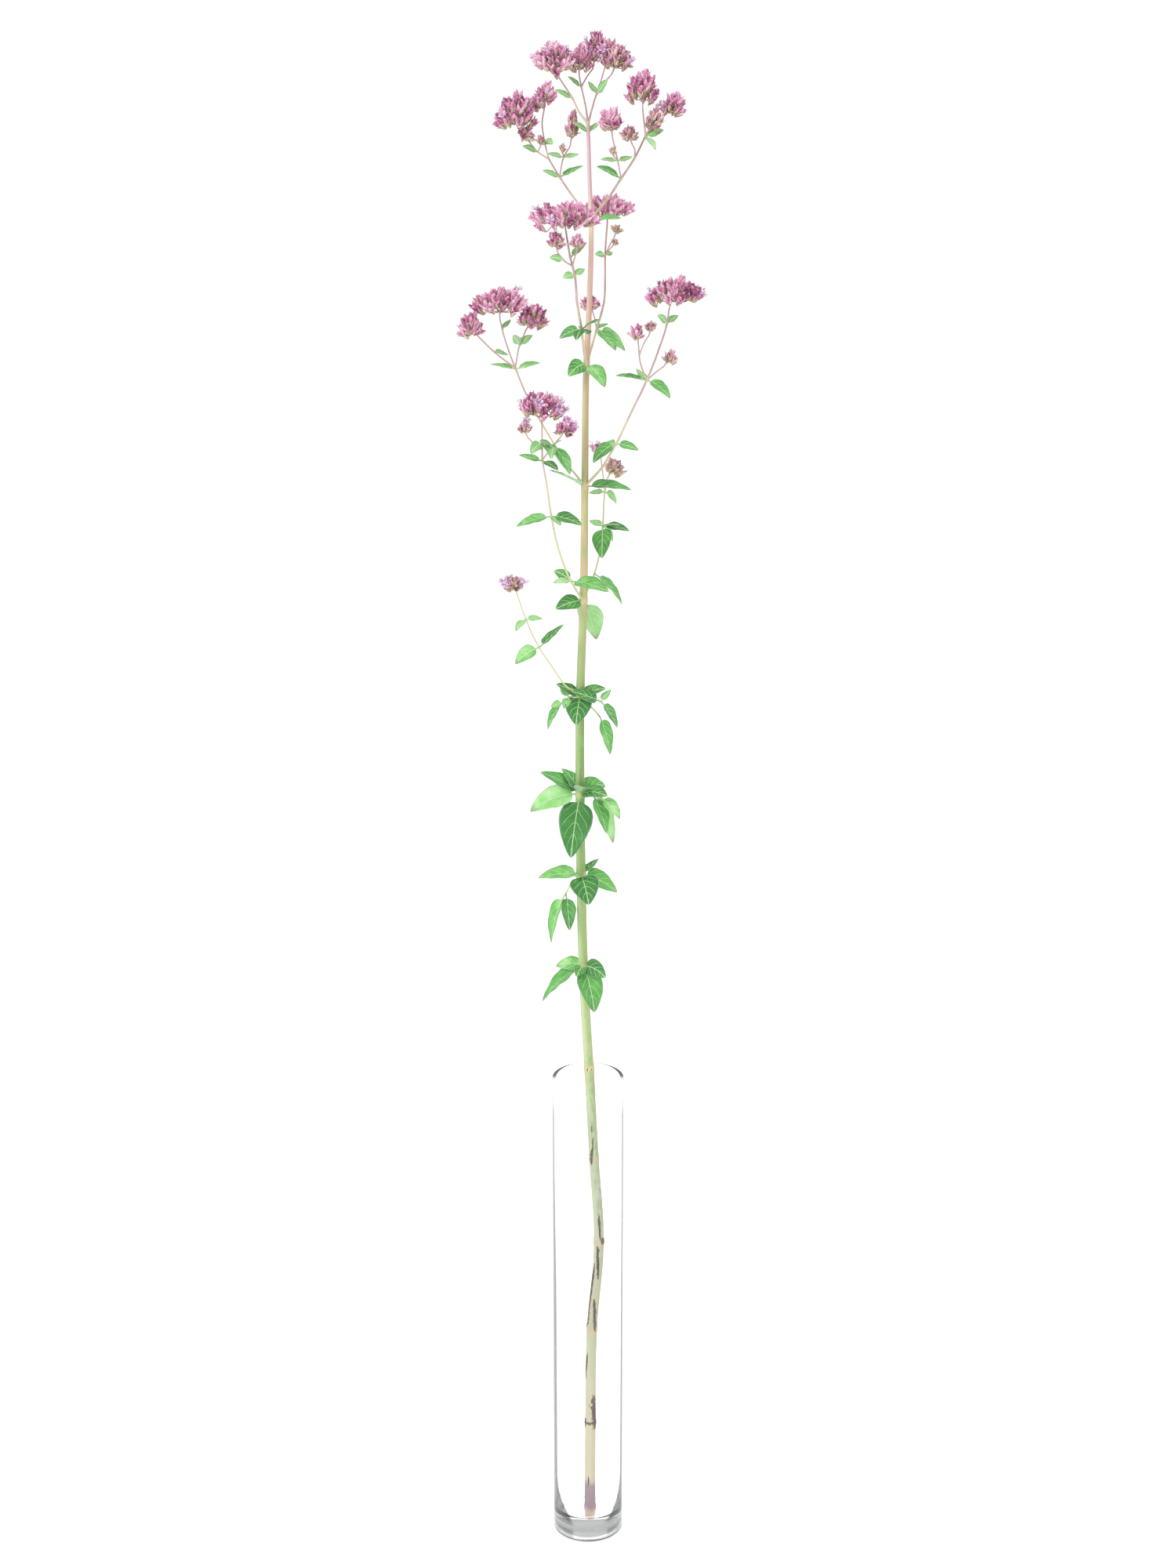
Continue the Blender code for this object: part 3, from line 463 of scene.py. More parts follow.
def grow(name, guide, tree, values):  # runs a tree on a guide mesh and keeps the result as a plain mesh
    holder = addObject(name + "Guide", guide)
    modifier = holder.modifiers.new("grow", "NODES")
    modifier.node_group = tree
    for item in tree.interface.items_tree:
        if item.in_out == "INPUT" and item.name in values:
            modifier[item.identifier] = values[item.name]
    mesh = bpy.data.meshes.new_from_object(holder.evaluated_get(bpy.context.evaluated_depsgraph_get()))
    mesh.name = name
    bpy.data.objects.remove(holder)
    return mesh


def named(graph, key, kind="FLOAT"):
    return graph.node("GeometryNodeInputNamedAttribute", {"Name": key}, data_type=kind)


def stored(graph, geometry, key, value, domain="INSTANCE"):
    return graph.node("GeometryNodeStoreNamedAttribute", {"Geometry": geometry, "Name": key, "Value": value},
                      data_type="FLOAT", domain=domain)


def shapeOf(graph, piece):
    return graph.node("GeometryNodeObjectInfo", {"Object": piece}, -1, transform_space="ORIGINAL")


def finished(graph, geometry, material):  # every branch ends this way
    real = graph.node("GeometryNodeRealizeInstances", {"Geometry": geometry})
    shaded = graph.node("GeometryNodeSetShadeSmooth", {"Geometry": real, "Shade Smooth": True})
    return graph.node("GeometryNodeSetMaterial", {"Geometry": shaded, "Material": material})


def output(graph, parts):  # a Join Geometry node takes all its parts in one socket
    joined = graph.node("GeometryNodeJoinGeometry")
    for part in reversed(parts):
        graph.tree.links.new(part.socket, joined.socket.node.inputs[0])
    graph.node("NodeGroupOutput", {0: joined}, None)


def tubes(graph, lines, sides, squareness):  # a squarish skin along every line, as thick as its "thick" says
    circle = graph.node("GeometryNodeCurvePrimitiveCircle", {"Resolution": sides, "Radius": 1.0})
    turn = graph.node("GeometryNodeSplineParameter")
    marked = stored(graph, circle, "around", turn, "POINT")
    push = graph.node("ShaderNodeVectorMath", {"Vector": graph.node("GeometryNodeInputPosition"),
                                               "Scale": (turn * (8 * math.pi)).of("COSINE") * squareness},
                      operation="SCALE")
    profile = graph.node("GeometryNodeSetPosition", {"Geometry": marked, "Offset": push})
    curve = graph.node("GeometryNodeMeshToCurve", {"Mesh": lines})
    return graph.node("GeometryNodeCurveToMesh", {"Curve": curve, "Profile Curve": profile,
                                                  "Scale": named(graph, "thick"), "Fill Caps": True})


def stalkTree():  # stalks as tubes along their lines, with the leaves put beside them
    tree, graph, entry = newTree("stalks and leaves", {"Leaves": "Object", "Sides": "Int", "Squareness": "Float",
                                                       "Skin": "Material"})
    skin = finished(graph, tubes(graph, entry["Geometry"], entry["Sides"], entry["Squareness"]), entry["Skin"])
    output(graph, [skin, shapeOf(graph, entry["Leaves"])])
    return tree


def headTree():  # a flower head: rays, spikelets of bracts, bractlets and open flowers
    tree, graph, entry = newTree("flower head", {
        "Bract": "Object", "Flower": "Object", "Bracts": "Int", "Low lean": "Float", "High lean": "Float",
        "Uneven": "Float", "Low size": "Float", "High size": "Float", "Rise": "Float", "Young": "Float",
        "Sides": "Int", "Ray skin": "Material", "Bract skin": "Material", "Petal skin": "Material"})
    rays = finished(graph, tubes(graph, entry["Geometry"], entry["Sides"], headShape["raySquareness"]),
                    entry["Ray skin"])

    # one spikelet: crossed pairs of bracts, each pair a little higher and larger than the last
    index, count = graph.node("GeometryNodeInputIndex"), entry["Bracts"]
    row = (index / 2).of("FLOOR")
    share = row / (count / 2 - 1)
    turn = index * math.pi + row * (math.pi / 2 + spikeletShape["twist"])
    uneven = (index * 0.618) % 1
    lean = entry["Low lean"] + (entry["High lean"] - entry["Low lean"]) * share + (uneven - 0.5) * entry["Uneven"]
    grown = entry["Low size"] + (entry["High size"] - entry["Low size"]) * share
    spots = graph.node("GeometryNodePoints", {"Count": count})
    spots = graph.node("GeometryNodeSetPosition", {"Geometry": spots, "Offset": graph.join(z=share * entry["Rise"])})
    pose = graph.node("FunctionNodeEulerToRotation", {0: graph.join(0 - lean, z=turn)})
    bract = shapeOf(graph, entry["Bract"])
    crown = graph.node("GeometryNodeInstanceOnPoints", {"Points": spots, "Instance": bract, "Rotation": pose,
                                                        "Scale": graph.join(grown, grown, grown)})
    for key, value in (("layer", share), ("shade", uneven), ("young", entry["Young"])):
        crown = stored(graph, crown, key, value)

    aimed = graph.node("FunctionNodeAlignRotationToVector", {"Vector": named(graph, "axis", "FLOAT_VECTOR")}, axis="Z")
    spin = graph.node("FunctionNodeAxisAngleToRotation", {"Axis": (0, 0, 1), "Angle": named(graph, "spin")})
    facing = graph.node("FunctionNodeRotateRotation", {0: aimed, 1: spin}, rotation_space="LOCAL")
    wide = named(graph, "wide")
    scale = graph.join(wide, wide, named(graph, "tall"))

    def placed(code, instance):
        chosen = abs(named(graph, "kind") - code) < 0.5
        points = graph.node("GeometryNodeMeshToPoints", {"Mesh": entry["Geometry"], "Selection": chosen},
                            mode="VERTICES")
        return graph.node("GeometryNodeInstanceOnPoints", {"Points": points, "Instance": instance,
                                                           "Rotation": facing, "Scale": scale})

    output(graph, [rays, finished(graph, placed(1, crown), entry["Bract skin"]),
                   finished(graph, placed(2, shapeOf(graph, entry["Flower"])), entry["Petal skin"]),
                   finished(graph, stored(graph, placed(3, bract), "layer", -0.6), entry["Bract skin"])])
    return tree


def smoothPath(knots, thickness, step):  # a smooth curve through the knots, as points and their radii
    knots = np.array(knots, float)
    gaps = np.maximum(np.linalg.norm(np.diff(knots, axis=0), axis=1), 1e-6)
    slopes = np.diff(knots, axis=0) / gaps[:, None]
    before, after = gaps[:-1, None], gaps[1:, None]
    inner = (slopes[:-1] * after + slopes[1:] * before) / (before + after)
    tangents = np.vstack([slopes[:1], inner, slopes[-1:]])
    places, radii = [], []
    for i, gap in enumerate(gaps):
        count = max(2, math.ceil(gap / step))
        t = (np.arange(count) / count)[:, None]
        places.append((2 * t**3 - 3 * t**2 + 1) * knots[i] + (t**3 - 2 * t**2 + t) * gap * tangents[i]
                      + (3 * t**2 - 2 * t**3) * knots[i + 1] + (t**3 - t**2) * gap * tangents[i + 1])
        radii.append(thickness[i] + (thickness[i + 1] - thickness[i]) * t[:, 0])
    return np.vstack([*places, knots[-1:]]), np.concatenate([*radii, [thickness[-1]]])


def linesMesh(lines):  # lines of (points, radii, {attribute: values}) as the points, edges and attributes of a guide
    points, edges, numbers = [], [], {"thick": [], "joint": [], "along": [], "kind": []}
    for places, radii, extra in lines:
        start, count = len(points), len(places)
        points.extend(places)
        edges.extend((start + i, start + i + 1) for i in range(count - 1))
        values = {"thick": radii, "along": np.linspace(0, 1, count), "kind": np.zeros(count), **extra}
        for key in numbers:
            numbers[key].extend(values[key])
    return points, edges, numbers


def swollen(places, radii, joints, swelling, reach):  # thicker near each joint, and how near each point is to one
    near = np.zeros(len(places))
    for joint in joints:
        distance = np.linalg.norm(places - np.array(joint), axis=1)
        near = np.maximum(near, np.exp(-(distance / reach) ** 2))
    return radii * (1 + swelling * near), near


def finishPiece(name, mesh, slot, *nodes):
    piece = addObject(name, mesh)
    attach(piece, "root")
    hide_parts(*nodes)
    print(name, len(mesh.polygons), "faces")


# the glass vase

vaseShape = {"height": 248 * mm, "radius": 17.5 * mm, "wall": 2.0 * mm, "floor": 10 * mm, "footRound": 0.9 * mm,
             "bowl": 4.5 * mm, "hollow": 0.7 * mm, "footRing": 3.4 * mm, "ringGap": 0.25 * mm, "steps": 128}


def arc(r, z, radius, start, end, steps=8):
    angles = np.radians(np.linspace(start, end, steps + 1))
    return [(r + radius * math.cos(a), z + radius * math.sin(a)) for a in angles]


def buildVase():
    radius, wall, floor, rounding, bowl, hollow, ring, near, steps = (vaseShape[key] for key in (
        "radius", "wall", "floor", "footRound", "bowl", "hollow", "footRing", "ringGap", "steps"))
    lip, inner = wall / 2, radius - wall
    top, foot = vaseShape["height"] - lip, radius - ring
    straight = [top - near, *np.linspace(top, rounding, 7)[1:-1], rounding + near]
    low = floor + bowl + near
    profile = arc(radius - lip, top, lip, 90, 0) + [(radius, z) for z in straight]
    profile += arc(radius - rounding, rounding, rounding, 0, -90)
    profile += [(foot + near, 0), (foot, 0), (foot - hollow, hollow * 0.5), (foot - hollow * 2, hollow),
                (foot - hollow * 2 - near, hollow), (foot * 0.5, hollow * 1.2), (0, hollow * 1.3), (0, floor)]
    for a in np.radians(np.linspace(5, 90, 18)):  # the floor inside is a shallow bowl
        profile.append((inner * math.sin(a), floor + bowl * (1 - math.cos(a))))
    profile += [(inner, low), *[(inner, z) for z in reversed(straight[:-1]) if z > low + 5 * mm]]
    profile += arc(radius - lip, top, lip, 180, 90)[:-1]
    points, index, faces = [], [], []
    for r, z in profile:
        if r == 0:
            index.append([len(points)] * steps)
            points.append((0, 0, z))
            continue
        index.append(list(range(len(points), len(points) + steps)))
        points += [(r * math.cos(a), r * math.sin(a), z) for a in np.arange(steps) * 2 * math.pi / steps]
    for low, high in zip(index, index[1:] + index[:1]):
        if low[0] == low[1] and high[0] == high[1]:
            continue
        for k in range(steps):
            m = (k + 1) % steps
            faces.append(list(dict.fromkeys([low[k], high[k], high[m], low[m]])))
    mesh = meshWith("glassVase", points, [], faces)
    mesh.shade_smooth()
    mesh.materials.append(glass)
    finishPiece("glassVase", mesh, "glass", "vase")


buildVase()


# the plant

# A stalk's row is its name, the radii at its foot and tip, and its route in mm; stalk a starts beside its joint of the
# main stem. A leaf's row is its stalk, the point of the route, azimuth, pitch, length, width, sag and turn, in degrees
# and mm, and how light the leaf is where that is chosen. A head's row is its name, stalk, centre in mm, half width and
# height, spikelets, open flowers, and how green and brown it still is. A + marks small growth that only the photo has.
plant = {
    "main_stem": {"stalks": """
        shoot2 0.6 0.45, -3.4 19 344, -8 17 341, -11 15 336
        shoot3 0.6 0.45, -3.8 21 385, 2 17 386, 6 15 384
        shoot4Left 0.55 0.4, -3.7 24 433, -9 21 433, -12.5 19.5 430.5
        shoot4Right 0.6 0.4, -3.7 24 432, 2 21 433, 6.5 20 431
        shoot4Low 0.5 0.4, -3.7 24 431, 2 24 427, 5.5 24 423""", "leaves": """
        main 8 170 -5 14 8 50 40 0.3; main 8 325 -15 14 9 55 -60 -0.35; main 8 295 -58 24 13.5 40 0 0.0;
        main 8 165 -45 30 15 35 20 0.2; main 9 180 -5 21 12 25 15 0.35; main 9 284 -34 19 14.5 35 -10 -0.35;
        main 9 12 -30 21 12 30 -35 0.3; main 9 45 25 13 7.5 5 10; shoot2 2 285 -68 18 10 25 30 -0.15;
        shoot2 2 195 -74 26 13 30 5 0.4; main 10 172 28 22 12.5 25 15 -0.1; main 10 132 38 17 9.5 45 -5;
        main 10 188 -18 26 13 45 40 0.75; main 10 255 -58 32 16.5 20 15 -0.32; main 10 45 2 18 10 60 -50 0.1;
        shoot3 1 315 -62 20 11 30 10 0.15; shoot3 1 5 -68 27 13.5 25 -35 0.7; shoot3 2 352 -45 14 8 50 -30 0.5;
        shoot3 2 60 35 6 3.5 10 0; shoot4Right 2 190 22 15 8.5 15 35 -0.3; main 11 262 -38 18 13 45 5 -0.35;
        shoot4Left 2 200 -15 6 4 20 60; shoot4Left 1 250 -30 8 4.5 30 15; shoot4Left 2 190 -62 15 8.5 35 10 0.2;
        shoot4Left 1 130 35 8 4.5 10 15; shoot4Right 2 350 -58 15 8.5 25 -15 -0.1; shoot4Right 2 40 40 8 4.5 10 -10;
        shoot4Low 2 345 -74 20 11 20 -15 0.2; main 13 215 -8 16 9 30 40 -0.3; main 13 58 -62 24 12.5 20 15 0.55;
        main 14 214 26 22 11 15 5; main 14 352 -3 22 12.5 25 -10 -0.1; main 15 230 -20 14 8 50 45;
        main 15 312 -38 16 9 40 -10; main 17 335 5 15 8.5 12 -15; main 17 140 -18 11 6 10 30;
        main 19 205 30 9 5 20 40; main 19 30 38 8 4.5 10 -10; main 11 184 28 13 7 20 35 -0.3;
        main 11 352 18 13 7.5 35 -35 -0.2; main 10 283 30 13 8 60 15 -0.3; main 10 322 6 17 9.5 50 -30 -0.1;
        main 9 250 10 9 5 30 10 -0.2; main 8 250 -15 10 6 40 15 0.0""", "heads": ""},
    "spray_lower_left": {"joint": 11, "stalks": """
        a 0.55 0.4, -9 19 438, -17 13 450, -23 10 460, -29 7 474, -33 4 487""", "leaves": """
        a 3 205 -30 14 8 35 35; a 3 20 40 16 9 0 0; a 4 225 -35 8 4.5 45 10; a 4 15 0 8 4.5 30 -25""", "heads": """
        head_lower_left a, -35 4 493, 5 4 5 6 0.75"""},
    "spray_lower_front": {"joint": 13, "stalks": """
        a 0.8 0.55, -8 18 490, -14 14 507, -17 11 522, -19 8 537, -21 6 549
        b 0.5 0.4, -21 6 549, -21 5 557, -21 4 566
        c 0.5 0.4, -21 6 549, -16 3 556, -12 1 561
        d 0.45 0.4, -21 5 554, -25 5 557, -28 5 560""", "leaves": """
        a 1 155 25 10 5.5 40 55; a 1 205 0 9 5 20 25; a 1 328 -8 21 12 25 -15; a 3 190 -15 17 9.5 20 15;
        a 3 350 -15 15 8.5 35 -25; a 3 300 -20 9 5 20 5; a 5 180 15 11 6 10 20; b 1 220 -35 8 5 60 45;
        c 1 322 -52 16 9 40 0; c 1 50 -55 14 8 30 5; c 1 265 -35 9 5 50 -20; c 1 215 20 8 4.5 30 30 -0.3;
        c 1 300 25 8 4.5 20 -20 -0.2; b 1 300 -30 9 5 40 10 -0.3; a 5 320 -20 10 5.5 30 -10 -0.3""", "heads": """
        head_lower_front b, -21 3 576, 11 7 11 9
        head_lower_front_side d, -29 5 565, 3.2 3.6 3 1 0.3
        head_lower_front_right c, -10 0 566, 5.4 4.7 5 2"""},
    "spray_lower_rear": {"joint": 13, "stalks": """
        a 0.6 0.45, 3 35 490, 6 38 502, 7 40 512, 8 43 528, 9 44 534
        b 0.45 0.4, 8 43 528, 7 42.5 537, 6 42 545""", "leaves": """
        a 3 268 -48 18 10 40 -15; a 3 145 15 8 4.5 20 25; a 3 50 -50 12 6.5 50 -65; a 4 165 -5 8 4.5 10 25;
        a 4 30 -45 9 5 50 -55; a 1 352 -48 20 11 40 -5; a 3 350 -8 13 7.5 30 -20 -0.3
        a 3 322 12 10 5.5 20 10 -0.1""", "heads": """
        head_lower_rear b, 6 42 550, 4.3 3 3 3
        head_lower_rear_side a, 13 47 541, 5 5 4 0 0.85"""},
    "spray_left": {"joint": 14, "stalks": """
        a 0.8 0.5, -10 33 543, -19 36 557, -29 38 575, -34 39 587
        b 0.5 0.4, -34 39 587, -44 37 595, -51 36 602
        c 0.5 0.4, -34 39 587, -37 40 595, -40 40 605, -41 40 610
        d 0.45 0.4, -34 39 587, -32 43 597, -29 45 604""", "leaves": """
        a 4 170 10 12 6.5 10 10; a 4 350 15 12 6.5 15 -20; b 1 30 -15 8 4.5 10 -30; c 2 50 35 7 4 0 0;
        d 1 230 50 7 4 30 -50; d 1 25 35 8 4.5 30 -35""", "heads": """
        head_left c, -41 40 619, 14.5 7 15 1
        head_left_outer b, -55 36 607, 6.5 7 7 0
        head_left_inner d, -25 46 611, 7.6 7 8 0"""},
    "spray_right": {"joint": 14, "stalks": """
        a 0.8 0.5, 6 24 542, 13 22 554, 20 20 569, 27 18 584, 32 17 597, 36 16 610, 37 16 617
        b 0.45 0.4, 27 18 584, 24 17 592, 23 16 601
        c 0.45 0.4, 23.6 16.4 596, 26 15 602, 28 15 605
        d 0.45 0.4, 27 18 584, 32 20 588, 35 21 590""", "leaves": """
        a 4 195 10 15 8.5 10 10; a 4 340 -35 14 8 40 -20; a 4 125 30 9 5 0 -5; a 6 220 35 7 4 40 75;
        a 6 30 30 7 4 30 -30; a 2 195 -38 14 8 45 30; a 2 350 -15 11 6 30 -30; a 2 130 -5 8 4.5 10 45""", "heads": """
        head_right a, 40 16 626, 13.5 6.5 14 4
        head_right_small b, 22 16 607, 3.6 4.7 3 0
        head_right_bud c, 28.5 15 609.5, 2.5 3.4 3 0 0.3
        head_right_side d, 38 21.5 595, 3.4 4.2 3 0 0.4"""},
    "spray_middle_front": {"joint": 15, "stalks": """
        a 0.9 0.5, -3 20 607, -5 16 620, -6 13 632, -8 12 640, -10 11 652
        b 0.45 0.4, -7 12.5 636, -11 9 639, -14 8 643
        c 0.45 0.4, -7 12.5 636, -6 9 640, -5 8 643""", "leaves": """
        a 1 190 -22 11 6 35 45 -0.2; a 1 255 -25 10 5.5 40 -5 -0.3; a 3 220 -8 7 4 30 55; a 3 35 25 6 3.5 20 -45;
        b 1 205 10 7 4 30 65; a 4 20 40 10 5.5 0 -15; a 1 285 -8 11 7 35 20 -0.3
        a 1 322 24 12 6.5 20 -20 -0.3""", "heads": """
        head_middle_front a, -11 10 660, 16 6.5 16 3
        head_middle_front_low b, -14 8 649, 4.3 5 5 0 0.2
        head_middle_front_side c, -5 8 648, 3.2 3.8 3 0"""},
    "spray_middle_rear": {"joint": 15, "stalks": """
        a 0.8 0.5, 4 40 605, 7.5 46.5 617, 8 50 629, 8 52 638, 9 54 653
        b 0.45 0.4, 4 40 605, 3 42.5 610, 2 44 613
        e 0.4 0.35, 8 52 638, 10.5 53 643, 12.5 53 646.5
        f 0.4 0.35, 8 52 638, 10 51 640.5, 11.5 51 642""", "leaves": """
        a 1 318 -38 15 8.5 30 -5; a 1 8 -38 17 9.5 25 -35; a 1 60 10 10 5.5 10 0; a 4 220 5 6 3.5 10 60;
        a 4 45 10 5 3 10 -45""", "heads": """
        head_middle_rear a, 9 56 661, 13.5 5.8 13 0
        head_middle_rear_low b, 1 44.5 618, 4.8 4.5 5 0
        +bud_rear e, 13 53 650, 2.6 3 2 0 1.0
        +bud_rear_low f, 12.5 51 644.5, 1.8 2.3 2 0 1.0"""},
    "spray_upper_left": {"joint": 17, "stalks": """
        a 0.8 0.5, -5 36 663, -13 39 674, -18 41 682
        b 0.45 0.4, -18 41 682, -23 42 685, -28 43 691, -31 43 695
        c 0.45 0.4, -18 41 682, -20 46 690, -21 48 698, -20 49 704
        d 0.45 0.4, -13 39 674, -11 37 683, -8 36 688
        e 0.4 0.35, -11 37 683, -11.5 35.5 684.4
        f 0.4 0.35, -23 42 685, -22 41.5 687, -21.6 41 688""", "leaves": """
        a 2 205 20 9 5 10 35; a 2 10 25 12 6.5 5 -15; b 1 205 20 8 4.5 20 45; c 1 310 -15 6 4 30 -45;
        d 1 195 12 8 4.5 0 30; d 1 15 10 7 4 0 -30""", "heads": """
        head_upper_left b, -33 43 704, 10.8 9.5 12 1
        head_upper_left_inner c, -19 49 712, 5.4 5 5 0
        head_upper_left_narrow d, -7 36 698, 3.2 7.6 6 0 0.35
        +bud_upper_left e, -11.8 35 687, 1.9 2.5 2 0 0.9
        +bud_left_end f, -21.4 41 690.5, 2.4 2.8 3 0 0.7
        +head_upper_left_low b, -27.5 42 693.5, 4.2 4.4 4 0 0.4
        +head_upper_left_gap c, -24 46 706.5, 3.8 4.2 4 0 0.2"""},
    "spray_upper_right": {"joint": 17, "stalks": """
        a 0.9 0.55, 9 27 665, 15 25 674, 21 24 683, 26 23 693
        b 0.45 0.4, 15 25 674, 13.4 22 682, 11 21 692
        c 0.5 0.4, 26 23 693, 25 23 700, 24.5 23 705
        d 0.5 0.4, 26 23 693, 30 25 698, 34 27 701
        e 0.45 0.4, 21 24 683, 21 20 687, 19.5 18 690
        f 0.4 0.35, 13.4 22 682, 11.6 20.5 684""", "leaves": """
        a 2 200 25 13 7.5 20 30; b 1 195 5 8 4.5 0 25; b 1 15 15 7 4 0 -30; a 4 15 18 9 5 20 -45;
        a 4 310 -40 9 5 30 5""", "heads": """
        head_upper_right c, 24.5 23 715, 8 7.5 9 0
        head_upper_right_outer d, 39 28 707, 6.2 7 7 1
        head_upper_right_inner b, 10 21 701, 5.4 6 5 0
        head_upper_right_low e, 18 18 695, 4.3 4.5 4 0 0.5
        +bud_upper_right f, 11 20 686.6, 2.0 2.6 2 0 0.9
        +head_upper_right_fork a, 30.5 24 701, 4.6 5 5 0 0.5"""},
    "spray_top": {"stalks": """
        a 0.6 0.45, 0 32 697.8, -4 30.4 703, -7 29 709, -13 28 718
        b 0.6 0.45, 0 32 697.8, -1 33 705, -3 34 714, -4 34 719
        c 0.6 0.45, 0 32 697.8, 2 33 705, 4 33 711, 11 30 720
        d 0.45 0.4, -3 34 714, 0 36.5 719, 2.4 38 722
        e 0.45 0.4, 4 33 711, 6 34.5 717, 7.5 35 722""", "leaves": """
        a 2 195 25 9 5 10 35; b 2 205 35 8 4.5 0 40; c 2 320 45 9 5 0 -70; c 2 150 52 7 4 0 15""", "heads": """
        head_top_left a, -16 27 728, 9.7 9.7 11 4
        head_top_middle b, -4 33 727, 6.4 7.4 7 3 0.2
        head_top_rear d, 3.5 39 732, 6.5 7.9 8 4
        head_top_right c, 14 28.5 728, 7 8 9 2 0.45
        +head_top_between e, 10 35 731.5, 5.4 6 6 4 0.3"""},
}

leafShape = {"petioleShare": 0.14, "petioleHalf": 0.42 * mm, "petioleThick": 0.36 * mm, "bladeThick": 0.13 * mm,
             "fold": 0.25, "foldRound": 0.5 * mm, "curl": 0.08, "wave": 0.035, "teeth": 0.008, "quilt": 0.13 * mm,
             "ribGroove": 0.16 * mm, "ribWidth": 0.7 * mm, "start": 0.2 * mm, "tipSink": 0.5 * mm, "rows": 22,
             "youngBelow": 10, "blunt": 0.74}
# The main stem's step and the reach of its joints are in mm, as its route is.
stalkShape = {"step": 1.2 * mm, "sides": 12, "squareness": 0.07, "swelling": 0.4, "swellReach": 0.9 * mm,
              "jointSwelling": 0.13, "jointReach": 2.0, "axilRise": 2.8 * mm, "gap": 0.3 * mm,
              "slender": 0.76, "mainGirth": ((0, 500, 660, 697), (1.06, 1.04, 0.98, 0.88)), "topFoot": 0.55 * mm,
              "mainSides": 24, "mainStep": 1.5}


def rows(text):  # words and numbers, one list for each line or part between semicolons
    lines = [line.split() for line in text.replace(",", " ").replace(";", "\n").split("\n")]
    return [[word if word[0] == "+" or word[0].isalpha() else float(word) for word in line] for line in lines if line]


def readStem(name):
    spec = {"joint": plant[name].get("joint"), "leaves": rows(plant[name]["leaves"])}
    spec["stalks"] = {key: (thick, thin, [tuple(route[i:i + 3]) for i in range(0, len(route), 3)])
                      for key, thick, thin, *route in rows(plant[name]["stalks"])}
    return spec


def pieceName(node):
    first, *rest = node.split("_")
    return first + "".join(word.capitalize() for word in rest)


def bladeHalfWidth(share, width):  # a petiole, then an egg-shaped outline to a point
    start = leafShape["petioleShare"]
    if share <= start:
        return leafShape["petioleHalf"]
    t = (share - start) / (1 - start)
    egg = width / 2 * math.sin(math.pi * t**0.58) ** leafShape["blunt"]
    return max(egg * (1 + leafShape["teeth"] * math.sin(t * 60)), 0.12 * mm * (1.1 - t))


def bladeCourse(foot, azimuth, pitch, length, sag, turn, shares):  # rib, side and upper normal at each share
    heading, roll = math.radians(azimuth), math.radians(turn)
    levelSide = Vector((math.sin(heading), -math.cos(heading), 0))
    place = foot + Vector((math.cos(heading), math.sin(heading), 0)) * leafShape["start"]
    course, previous = [], 0
    for share in shares:
        rise = math.radians(pitch + sag * (0.5 - (share + previous) / 2))
        along = Vector((math.cos(rise) * math.cos(heading), math.cos(rise) * math.sin(heading), math.sin(rise)))
        place = place + along * (share - previous) * length
        side = levelSide * math.cos(roll) + levelSide.cross(along) * math.sin(roll)
        course.append((place, side, side.cross(along)))
        previous = share
    return course


